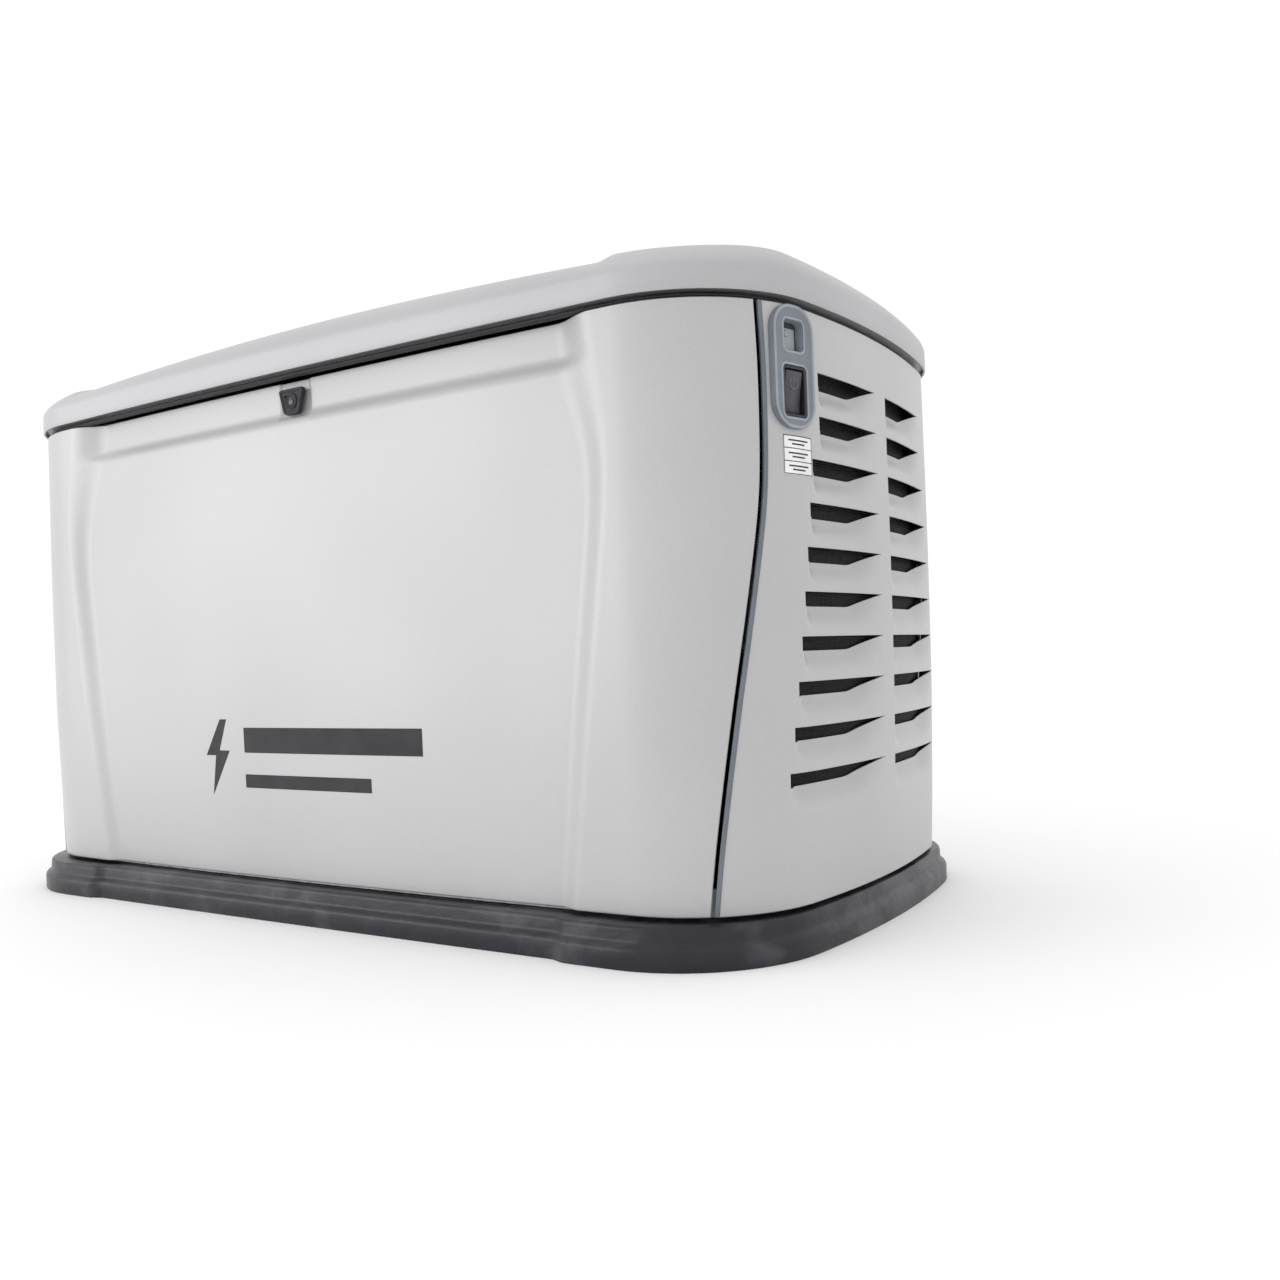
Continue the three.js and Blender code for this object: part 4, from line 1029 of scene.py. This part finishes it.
# %% [markdown]
# Under the lid a ribbed frame stiffens the edge, and a mat of open-cell foam deadens the engine's noise. A
# hollow rubber bulb runs all round and closes the gap to the panels.

# %% Lid lining and seal
foam_rings = [[(x, y, z - 1) for x, y, z in lid_ring(inward, LID_SKIN)]
              for inward in (34, 45, 60, 85, 115, LAST_RING)]
foam_rings += [[(x, y, z - 1) for x, y, z in lid_inner_ring(share, LID_SKIN)] for share in (0.4, 1)]
STAY_OPEN = math.radians(55)
pin = sum(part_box("hinge_pin_left"), Vector()) / 2
stay_low, stay_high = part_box("lid_stay")
STAY_EYE = 12 * MM
pivot = Vector(((stay_low.x + stay_high.x) / 2, stay_high.y - STAY_EYE, (stay_low.z + stay_high.z) / 2))
raised = pivot + Vector((0, 0, pivot.y - stay_low.y)) - pin
tip = (pin + Matrix.Rotation(STAY_OPEN, 3, "X") @ Vector((0, raised.y, raised.z))) / MM
tip.x = pivot.x / MM
print("the stay meets the open lid at", [round(c) for c in tip])


def foam_depth(x, y):
    """The mat is 15 mm thick, and pressed thin where the stay stands against the open lid."""
    away = math.hypot(x - tip.x, y - tip.y)
    return 1.5 + 13.5 * smoothstep((away - 24) / 22)


lower_foam = [[(x, y, z - foam_depth(x, y)) for x, y, z in ring] for ring in foam_rings]
lower_foam[0] = [(x, y, z - 11) for x, y, z in lid_ring(38, LID_SKIN)]
Shape().grid([*reversed(lower_foam), *foam_rings], wrap=True).piece("lid_foam", "foam", "lid")

seal_low, seal_high = (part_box("lid_seal")[k].z / MM for k in (0, 1))
seal_middle, seal_half = (seal_low + seal_high) / 2, (seal_high - seal_low) / 2
seal_rings = []
for k in range(13):
    turn = 2 * math.pi * k / 12
    seal_rings.append(lid_rim(14.5 - 5.5 * math.cos(turn), seal_middle + seal_half * math.sin(turn)))
seal_rings[-1] = seal_rings[0]
Shape().grid([*seal_rings], wrap=True).piece("lid_seal_bulb", "rubber", "lid", ["lid_seal"], sharp=60)

flange = [lid_rim(LID_SKIN + 0.2, LID_BOTTOM + 6), lid_rim(24, LID_BOTTOM + 1.2),
          lid_rim(25, LID_BOTTOM + 1.2),
          lid_rim(25, LID_BOTTOM + 3.2), lid_rim(LID_SKIN + 0.2, LID_BOTTOM + 8),
          lid_rim(LID_SKIN + 0.2, LID_BOTTOM + 6)]
Shape().grid(list(reversed(flange)), wrap=True).piece("lid_edge_frame", "paint_lid", "lid", sharp=40)
print("lining:", made["lid_foam"], "seal:", made["lid_seal_bulb"])

# %% [markdown]
# ## The mounting pad
# A two-tier moulding: a wide foot 20 mm high, a chamfer, and a narrower step that the housing stands on.
# The long sides step in between the corner columns, as the housing above them does.

# %% Mounting pad
PAD_PROFILE = [(0.0, 1.0), (1.5, 0.2), (17.5, 0.0), (19.5, 0.5), (21.2, 1.8), (22.6, 3.6), (24.2, 6.0),
               (25.2, 6.8),
               (27.5, 7.2), (35.5, 7.4), (38.0, 8.0), (39.3, 9.2), (40.0, 11.0)]
PAD_STEP = {"foot": 364, "edge": 388, "depth": 7}
half_pad = densify([(0, 12), (PAD_STEP["foot"], 12), (PAD_STEP["edge"], 44), (pad_plan.quarter, 0)])
pad_turn = half_pad + [2 * pad_plan.quarter - s for s in reversed(half_pad[:-1])]
pad_stations = pad_turn + [-s for s in reversed(pad_turn[1:-1])]


def pad_ring(z, inset):
    ring = []
    for s in pad_stations:
        near = 2 * pad_plan.quarter - abs(s) if abs(s) > pad_plan.quarter else abs(s)
        step = 1 - smoothstep((near - PAD_STEP["foot"]) / (PAD_STEP["edge"] - PAD_STEP["foot"]))
        ring.append(wall_point(s, z, inset + 0.3 + PAD_STEP["depth"] * step, pad_plan))
    return ring


Shape().stack([pad_ring(z, inset) for z, inset in PAD_PROFILE]).piece(
    "mounting_pad_moulding", "pad_composite", "base", ["mounting_pad"], slot="pad_composite", sharp=60)
print("pad faces:", made["mounting_pad_moulding"])

# %% [markdown]
# ## Status window and emergency stop
# The bezel is a blue-grey moulding with a raised rim; the rim's paler blue-grey is a painted highlight. Two
# deep windows go through it. Behind the upper one a pale card carries the status light, and in the lower one
# the emergency stop rocks in a black frame, with the usual power symbol moulded into its face. A plate with
# holes is triangulated from its outlines, and each window gets walls; the status window's walls take the same
# painted highlight colour.

# %% Bezel
# Painted highlight: the bezel's blue-grey made paler for the raised rims and the status window's walls
moulded("bezel_rim", (0.27, 0.30, 0.34), 0.36)
moulded("dark_frame", (0.035, 0.04, 0.047), 0.5)
moulded("rocker_mark", (0.11, 0.11, 0.115), 0.4)


def shifted(outline, y):
    return [(px, py + y) for px, py in outline]


def collar(shape, outline, steps, place):
    """A closed loop of section (inset, height), for rims and window walls; steps run round the section."""
    rings = [[(x, y, height) for x, y in inset_outline(outline, inset)] for inset,
             height in [*steps, steps[0]]]
    return shape.grid(rings, wrap=True, place=place)


bezel_outline = rounded_rectangle(BEZEL["width"], BEZEL["height"], BEZEL["corner"], 14)
window_hole = shifted(rounded_rectangle(WINDOW["width"], WINDOW["height"], 5), WINDOW["y"])
stop_hole = shifted(rounded_rectangle(STOP["width"], STOP["height"], 5), STOP["y"])
bezel = Shape().pierced(bezel_outline, [window_hole, stop_hole], -4, BEZEL["face"], bezel_frame)
bezel.piece("status_bezel_face", "bezel_plastic", "intake_panel", ["status_bezel"], sharp=30, bevel=0.7)
rim = Shape()
collar(rim, bezel_outline, [(0.2, 3.0), (0.6, 4.7), (1.6, 5.0), (2.8, 4.8), (3.6, 3.9), (3.6, 3.0)],
       bezel_frame)
for hole in (window_hole, stop_hole):
    collar(rim, hole, [(-2.6, 3.6), (-2.2, 4.4), (-0.9, 4.6), (0.0, 4.2), (0.0, 3.0), (-2.6, 3.0)],
           bezel_frame)
rim.piece("bezel_raised_rims", "bezel_rim", "intake_panel", slot="bezel_plastic", sharp=70)
walls = Shape()
collar(walls, inset_outline(window_hole, 0.15), [(0, 3.4), (0, -14), (-1.4, -14), (-1.4, 3.4)], bezel_frame)
walls.piece("window_walls", "bezel_rim", "intake_panel", slot="bezel_plastic")
print("bezel:", made["status_bezel_face"], "rims:", made["bezel_raised_rims"])

# %% Status card and emergency stop
card = Shape()
card.plate(shifted(rounded_rectangle(WINDOW["width"] - 1, WINDOW["height"] - 1, 4), WINDOW["y"]),
           [(0, -7), (0, -5.4),
           (0.5, -5)], bezel_frame)
card.piece("status_card", "dark_frame", "intake_panel", slot="black_plastic")
lens = Shape()
lens.plate(shifted(rounded_rectangle(19, 21, 2), WINDOW["y"] - 2), [(0, -5.2), (0, -3.6), (0.6, -3.1)],
           bezel_frame)
lens.turned([(0, -3.2), (3.2, -3.2), (3.2, -2.4), (2.4, -1.7), (0, -1.4)],
            bezel_frame @ Matrix.Translation((-3.5, 33, 0)))
lens.piece("status_light", "lens", "intake_panel", ["status_lens"])

frame_rim = Shape()
inner_stop = shifted(rounded_rectangle(STOP["width"] - 0.6, STOP["height"] - 0.6, 4.7), STOP["y"])
collar(frame_rim, inner_stop, [(0, 3.2), (0.5, 3.8), (2.2, 3.8), (2.9, 3.2), (2.9, -20), (0, -20)],
       bezel_frame)
frame_rim.plate(inner_stop, [(1, -22), (1, -20)], bezel_frame)
frame_rim.piece("stop_frame", "black_plastic", "intake_panel", ["shutdown_switch_housing"], sharp=40)

ROCKER_HALF = 11.6
rocker_side = [(-20, -2.0), (-19.4, -1.2), (-10, -0.9), (0, 0.5), (10, 2.1), (19.4, 3.6), (20.1, 2.9),
               (17, -8.6), (-17, -8.6)]
rocker = Shape()
rocker_rows = [[(x, STOP["y"] + y * squeeze, z - drop) for y, z in rocker_side]
               for x, squeeze, drop in ((-ROCKER_HALF, 0.97, 0.7), (-ROCKER_HALF + 0.8, 1, 0),
                                        (ROCKER_HALF - 0.8, 1, 0),
                                        (ROCKER_HALF, 0.97, 0.7))]
rocker.stack([list(reversed(row)) for row in rocker_rows], bezel_frame)
rocker.piece("stop_rocker", "rocker_plastic", "shutdown_rocker", ["shutdown_rocker"], sharp=50)


def arc_band(radius, width, start, end, steps=28):
    """An open ring as an outline, between two angles in degrees."""
    angles = [math.radians(start + (end - start) * i / steps) for i in range(steps + 1)]
    outer = [((radius + width / 2) * math.cos(a), (radius + width / 2) * math.sin(a)) for a in angles]
    inner = [((radius - width / 2) * math.cos(a), (radius - width / 2) * math.sin(a))
             for a in reversed(angles)]
    return outer + inner


ROCKER_SLOPE = math.atan2(2.5, 20)
rocker_face = bezel_frame @ Matrix.Translation((0, STOP["y"] + 8,
                                                1.75)) @ Matrix.Rotation(ROCKER_SLOPE * 0.66, 4, "X")
symbol = Shape()
symbol.pierced(arc_band(5.2, 1.3, 125, 415), [], -0.6, 0.45, rocker_face)
symbol.plate([(-0.65, 1.2), (0.65, 1.2), (0.65, 7.4), (-0.65, 7.4)], [(0, -0.6), (0, 0.45)], rocker_face)
symbol.piece("stop_power_symbol", "rocker_mark", "shutdown_rocker")
print("rocker:", made["stop_rocker"])

# %% [markdown]
# ## Lock and its cap
# A rubber cap keeps rain out of the lock. It is wider at the top than at the foot, has a raised rim, and
# carries a small embossed padlock on a round boss. It folds down about its lower edge, so all of it rides
# on the cap's body.

# %% Lock cap
cap_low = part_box("lock_cap")[0]
cap_back = cap_low.y / MM + 8 + 2.0
cap_frame = facing((0, cap_back - 1.2, 0), (1, 0, 0), (0, 0, 1))


def rounded_polygon(corners, radius, steps=5):
    """A convex outline whose corners are rounded with short quadratic curves."""
    points = []
    for i, corner in enumerate(corners):
        here = Vector(corner)
        for_before = (Vector(corners[i - 1]) - here).normalized()
        for_after = (Vector(corners[(i + 1) % len(corners)]) - here).normalized()
        start, end = here + for_before * radius, here + for_after * radius
        for k in range(steps + 1):
            t = k / steps
            points.append(tuple((1 - t) ** 2 * start + 2 * t * (1 - t) * here + t * t * end))
    return points


cap_outline = rounded_polygon([(-12.5, 586), (12.5, 586), (21, 616), (-21, 616)], 4.5)
cap = Shape()
cap.plate(cap_outline, [(0.6, 0), (0, 0.8), (0, 4.6), (0.8, 5.6), (2.2, 5.8), (3.4, 5.0), (3.9, 4.3),
                        (7, 4.2)], cap_frame)
boss = cap_frame @ Matrix.Translation((0, 601.5, 0))
cap.turned([(9.6, 3.6), (9.6, 4.9), (8.9, 5.5), (8.0, 5.2), (7.4, 4.7), (0, 4.7)], boss)
cap.piece("lock_cap_moulding", "rubber", "lock_cap", ["lock_cap"], sharp=50)
padlock = Shape()
padlock.plate(rounded_rectangle(6.4, 4.8, 0.8, 3), [(0, 4.5), (0, 5.3), (0.3, 5.5)],
              boss @ Matrix.Translation((0, -1.6, 0)))
padlock.pierced(arc_band(2.1, 0.9, 0, 180, 14), [], 4.5, 5.4, boss @ Matrix.Translation((0, 0.8, 0)))
padlock.piece("lock_cap_symbol", "rocker_mark", "lock_cap")
print("cap:", made["lock_cap_moulding"], "reaches y", round(min(p.y for p in cap.points), 1), "of",
      round(cap_low.y / MM, 1))

# %% [markdown]
# ## Stickers
# A sticker is a sheet of vinyl a few tenths of a millimetre thick that follows the wall. A small grid laid
# on the wall does for each patch. The white label is a generic one, ruled in three boxes with plain bars
# for its lines, and the front carries a plain pictogram, a lightning bolt over two bars.

# %% Wall patches
def wall_patch(shape, s0, s1, z0, z1, lift, inset_at, steps=8):
    """A patch of film on the wall, lift millimetres proud of it."""
    rows = [[wall_point(s, z, inset_at(s, z) - lift)
             for s in [s0 + (s1 - s0) * i / steps for i in range(steps + 1)]]
            for z in [z0 + (z1 - z0) * k / 4 for k in range(5)]]
    return shape.grid(rows)


label_s0, label_s1 = station_of_y(-206.5), station_of_y(-163)
label = Shape()
wall_patch(label, label_s0, label_s1, 461, 499, 0.25, wall_inset)
label.piece("instruction_label", "label_white", "intake_panel", slot="lens")
ink = Shape()
LINE = 0.8
for z in (461.4, 473.6, 486.2, 498.2):
    wall_patch(ink, label_s0 + 0.4, label_s1 - 0.4, z, z + LINE, 0.4, wall_inset)
for s in (label_s0 + 0.4, label_s1 - 0.4 - LINE):
    wall_patch(ink, s, s + LINE, 461.4, 498.6, 0.4, wall_inset, 2)
BAR_SHARES = [(0.16, 0.84), (0.28, 0.72)]
for z in (465.2, 477.6, 490.0):
    for row, (start, end) in enumerate(BAR_SHARES):
        width = label_s1 - label_s0
        wall_patch(ink, label_s0 + width * start, label_s0 + width * end, z + 3.6 * (1 - row),
                   z + 3.6 * (1 - row) + 1.5, 0.4, wall_inset, 4)
ink.piece("label_bars", "print_charcoal", "intake_panel")

BOLT = [(6, 46), (-22, 2), (-4, 2), (-12, -46), (22, 8), (3, 8), (18, 46)]
graphic = Shape()
bolt_points = [(x - 150, z + 186) for x, z in BOLT]


def on_front(p):
    return wall_point(p.x, p.y, front_inset(p.x, p.y) - p.z)


graphic.pierced(bolt_points, [], 0.05, 0.35, on_front)
for x0, x1, z0, z1 in ((-100, 188, 192, 222), (-100, 110, 150, 166)):
    wall_patch(graphic, x0, x1, z0, z1, 0.3, front_inset, 24)
graphic.piece("front_pictogram", "print_charcoal", "front_panel")
print("label and pictogram:", made["label_bars"], made["front_pictogram"])

# %% [markdown]
# ## What repeats, by Geometry Nodes
# The hinge screws and the wires of the screens are one shape many times over. A node tree makes each kind:
# it takes a guide mesh, puts an instance on each of its points, realises the instances and gives them their
# material. The result is then turned into a plain mesh, so that nothing live is left on the piece.

# %% Node tree helpers
class Tree:
    """A Geometry Nodes tree with named inputs."""

    def __init__(self, name, inputs):
        self.group = bpy.data.node_groups.new(name, "GeometryNodeTree")
        self.group.interface.new_socket("Geometry", in_out="INPUT", socket_type="NodeSocketGeometry")
        for label, kind in inputs:
            self.group.interface.new_socket(label, in_out="INPUT", socket_type=f"NodeSocket{kind}")
        self.group.interface.new_socket("Geometry", in_out="OUTPUT", socket_type="NodeSocketGeometry")
        self.input = self.group.nodes.new("NodeGroupInput")

    def value(self, label):
        return self.input.outputs[label]

    def node(self, kind, settings=(), **inputs):
        """Adds a node; settings are its options, and each input is a value or another node's output."""
        node = self.group.nodes.new(kind)
        for option, choice in settings:
            setattr(node, option, choice)
        for label, value in inputs.items():
            socket = next(i for i in node.inputs if i.name.replace(" ", "_") == label and i.enabled)
            if isinstance(value, bpy.types.NodeSocket):
                self.group.links.new(value, socket)
            else:
                socket.default_value = value
        return node

    def finish(self, geometry):
        real = self.node("GeometryNodeRealizeInstances", Geometry=geometry)
        dressed = self.node("GeometryNodeSetMaterial", Geometry=real.outputs[0],
                            Material=self.value("Material"))
        out = self.group.nodes.new("NodeGroupOutput")
        self.group.links.new(dressed.outputs[0], out.inputs[0])
        return self

    def grow(self, name, guide, body, finish, replaces=(), slot=None, sharp=40, **values):
        """Runs the tree on a guide mesh and keeps the result as a plain piece."""
        carrier = bpy.data.objects.new(f"{name}_guide", guide)
        bpy.context.scene.collection.objects.link(carrier)
        modifier = carrier.modifiers.new("nodes", "NODES")
        modifier.node_group = self.group
        for item in self.group.interface.items_tree:
            if item.in_out == "INPUT" and item.name in values:
                modifier[item.identifier] = values[item.name]
            if item.in_out == "INPUT" and item.name == "Material":
                modifier[item.identifier] = finishes[finish]
        ready = carrier.evaluated_get(bpy.context.evaluated_depsgraph_get())
        mesh = bpy.data.meshes.new_from_object(ready)
        bpy.data.objects.remove(carrier)
        return show(name, mesh, body, replaces, sharp)


def guide_points(spots, edges=()):
    """A mesh of bare points in metres from (place, facing) pairs; facing is kept as an attribute."""
    mesh = bpy.data.meshes.new("guide")
    mesh.from_pydata([Vector(place) * MM for place, _ in spots], list(edges), [])
    attribute = mesh.attributes.new("facing", "FLOAT_VECTOR", "POINT")
    for i, (_, facing_way) in enumerate(spots):
        attribute.data[i].vector = facing_way
    return mesh


print("node tree helpers ready")

# %% [markdown]
# A hexagon flange screw is a washer-faced disc with a six-sided head on it. The tree joins the two, lays
# the result on each guide point and turns its axis to the point's own facing direction.

# %% Screw tree
screws = Tree("flange_screws", [("Radius", "Float"), ("Material", "Material")])
radius = screws.value("Radius")
flange_disc = screws.node("GeometryNodeMeshCylinder", Vertices=16, Radius=radius, Depth=radius)
head_radius = screws.node("ShaderNodeMath", [("operation", "MULTIPLY")], Value=radius)
head_radius.inputs[1].default_value = 0.68
head_depth = screws.node("ShaderNodeMath", [("operation", "MULTIPLY")], Value=radius)
head_depth.inputs[1].default_value = 2.0
head = screws.node("GeometryNodeMeshCylinder", Vertices=6, Radius=head_radius.outputs[0],
                   Depth=head_depth.outputs[0])
flat_disc = screws.node("GeometryNodeTransform", Geometry=flange_disc.outputs[0], Scale=(1, 1, 0.5))
both = screws.node("GeometryNodeJoinGeometry")
screws.group.links.new(flat_disc.outputs[0], both.inputs[0])
screws.group.links.new(head.outputs[0], both.inputs[0])
facing_way = screws.node("GeometryNodeInputNamedAttribute", [("data_type", "FLOAT_VECTOR")], Name="facing")
turn = screws.node("FunctionNodeAlignRotationToVector", [("axis", "Z")], Vector=facing_way.outputs[0])
placed = screws.node("GeometryNodeInstanceOnPoints", Points=screws.value("Geometry"),
                     Instance=both.outputs[0], Rotation=turn.outputs[0])
screws.finish(placed.outputs[0])


def add_screws(name, body, finish, screw_radius, spots):
    return screws.grow(name, guide_points(spots), body, finish, Radius=screw_radius * MM)


LEAF_BACK, LEAF_HEIGHT = 309.6, 600
for side, x in (("left", -300), ("right", 300)):
    add_screws(f"hinge_screws_{side}", "base", "steel", 4.2,
               [((x + dx, LEAF_BACK, LEAF_HEIGHT), (0, 1, 0)) for dx in (-30, -10, 10, 30)])
print("hinge screws:", made["hinge_screws_left"])

# %% [markdown]
# ### Woven screen
# Behind the intake louvres a black woven wire screen keeps leaves and mice out. Wires of one direction are
# a straight line on every point of the guide, which runs along the end wall, and wires of the other are the
# guide itself, copied upwards at the same pitch.

# %% Woven screen
weave = Tree("woven_screen", [("Pitch", "Float"), ("Wire", "Float"), ("Rows", "Int"), ("Height", "Float"),
                              ("Material", "Material")])
along = weave.node("GeometryNodeMeshToCurve", Mesh=weave.value("Geometry"))
even = weave.node("GeometryNodeResampleCurve", [("mode", "LENGTH")], Curve=along.outputs[0],
                  Length=weave.value("Pitch"))
section = weave.node("GeometryNodeCurvePrimitiveCircle", Resolution=4, Radius=weave.value("Wire"))
coarse = weave.node("GeometryNodeResampleCurve", Curve=along.outputs[0], Count=24)
flat_wire = weave.node("GeometryNodeCurveToMesh", Curve=coarse.outputs[0], Profile_Curve=section.outputs[0])
step = weave.node("ShaderNodeCombineXYZ", Z=weave.value("Pitch"))
ladder = weave.node("GeometryNodeMeshLine", Count=weave.value("Rows"), Offset=step.outputs[0])
wefts = weave.node("GeometryNodeInstanceOnPoints", Points=ladder.outputs[0], Instance=flat_wire.outputs[0])
top = weave.node("ShaderNodeCombineXYZ", Z=weave.value("Height"))
upright = weave.node("GeometryNodeCurvePrimitiveLine", Start=(0, 0, 0), End=top.outputs[0])
upright_wire = weave.node("GeometryNodeCurveToMesh", Curve=upright.outputs[0],
                          Profile_Curve=section.outputs[0])
warps = weave.node("GeometryNodeInstanceOnPoints", Points=even.outputs[0], Instance=upright_wire.outputs[0])
cloth = weave.node("GeometryNodeJoinGeometry")
weave.group.links.new(wefts.outputs[0], cloth.inputs[0])
weave.group.links.new(warps.outputs[0], cloth.inputs[0])
weave.finish(cloth.outputs[0])

moulded("black_mesh", (0.010, 0.010, 0.012), 0.38)
SCREEN = {"low": 150, "high": 590, "pitch": 2.6, "wire": 0.45}


def add_screen(name, body, turn, inset, replaces=()):
    height = SCREEN["high"] - SCREEN["low"]
    stations = [lid_plan.quarter - 235 + 470 * i / 60 for i in range(61)]
    spots = [(turn(wall_point(s, SCREEN["low"], inset)), (0, 0, 1)) for s in stations]
    guide = guide_points(spots, [(i, i + 1) for i in range(60)])
    return weave.grow(name, guide, body, "black_mesh", replaces, sharp=80, Pitch=SCREEN["pitch"] * MM,
                      Wire=SCREEN["wire"] * MM, Rows=int(height / SCREEN["pitch"]) + 1, Height=height * MM)


SCREEN_INSET = 24
add_screen("intake_woven_screen", "intake_panel", lambda p: p, SCREEN_INSET, ["intake_screen"])
add_screen("exhaust_woven_screen", "base", mirror_x, SCREEN_INSET)
print("screen faces:", made["intake_woven_screen"])

# %% [markdown]
# ## Dressing the mechanical parts
# The parts inside already have their shapes, so each gets what a real casting, pressing or moulding
# has and a bare solid does not: its flat faces joined up, its edges broken by a small radius that catches
# the light, round faces shaded smooth, and its own finish. Each one stands for the node that it was made
# from.

# %% Dress the nodes
def dress(node, finish, bevel=0.8, sharp=32):
    """A merged copy of a node with broken edges and a finish."""
    source = frame["nodes"][node]
    mesh = source.data.copy()
    mesh.name = f"{node}_detail"
    work = bmesh.new()
    work.from_mesh(mesh)
    bmesh.ops.remove_doubles(work, verts=work.verts, dist=0.02 * MM)
    bmesh.ops.dissolve_degenerate(work, edges=work.edges, dist=0.01 * MM)
    bmesh.ops.dissolve_limit(work, angle_limit=math.radians(1.0), verts=work.verts, edges=work.edges)
    work.to_mesh(mesh)
    work.free()
    mesh.materials.clear()
    mesh.materials.append(finishes[finish])
    for face in mesh.polygons:
        face.material_index = 0
    return show(mesh.name, mesh, body_of(source)[0], [node], sharp=sharp, bevel=bevel, corner=sharp)


DRESSED = {
    "galvanised": ["base_tray", "engine_skid", "divider_panel", "control_bracket", "hinge_leaf_fixed_left",
                   "hinge_leaf_fixed_right", "hinge_leaf_lid_left", "hinge_leaf_lid_right"],
    "steel": ["hinge_pin_left", "hinge_pin_right", "lid_stay", "lock_cylinder", "alternator_stator",
              "rotor_shaft"],
    "cast_aluminium": ["crankcase", "cylinder_front", "cylinder_rear", "flywheel_fan", "intake_mixer",
                       "alternator_end_bell", "fuel_regulator"],
    "engine_black": ["valve_cover_front", "valve_cover_rear", "blower_housing", "starter_motor",
                     "fuel_inlet_pipe"],
    "filter_paint": ["oil_filter"],
    "black_plastic": ["air_filter_housing", "battery_tray", "controller_housing", "main_breaker",
                      "breaker_toggle"],
    "battery_case": ["battery"],
    "hot_steel": ["muffler", "exhaust_pipe_front", "exhaust_pipe_rear", "exhaust_outlet"],
    "yellow_plastic": ["dipstick"],
    "lens": ["controller_display"],
}
for finish, nodes in DRESSED.items():
    for node in nodes:
        dress(node, finish, bevel=0.5 if finish == "steel" else 0.9)
for node in frame["nodes"]:
    if node.startswith(("isolator_", "battery_strap")):
        dress(node, "rubber", 1.0)
    if node.startswith("button_"):
        dress(node, "bezel_plastic", 0.6)
print("nodes dressed:", sum(name.endswith("_detail") for name in made))
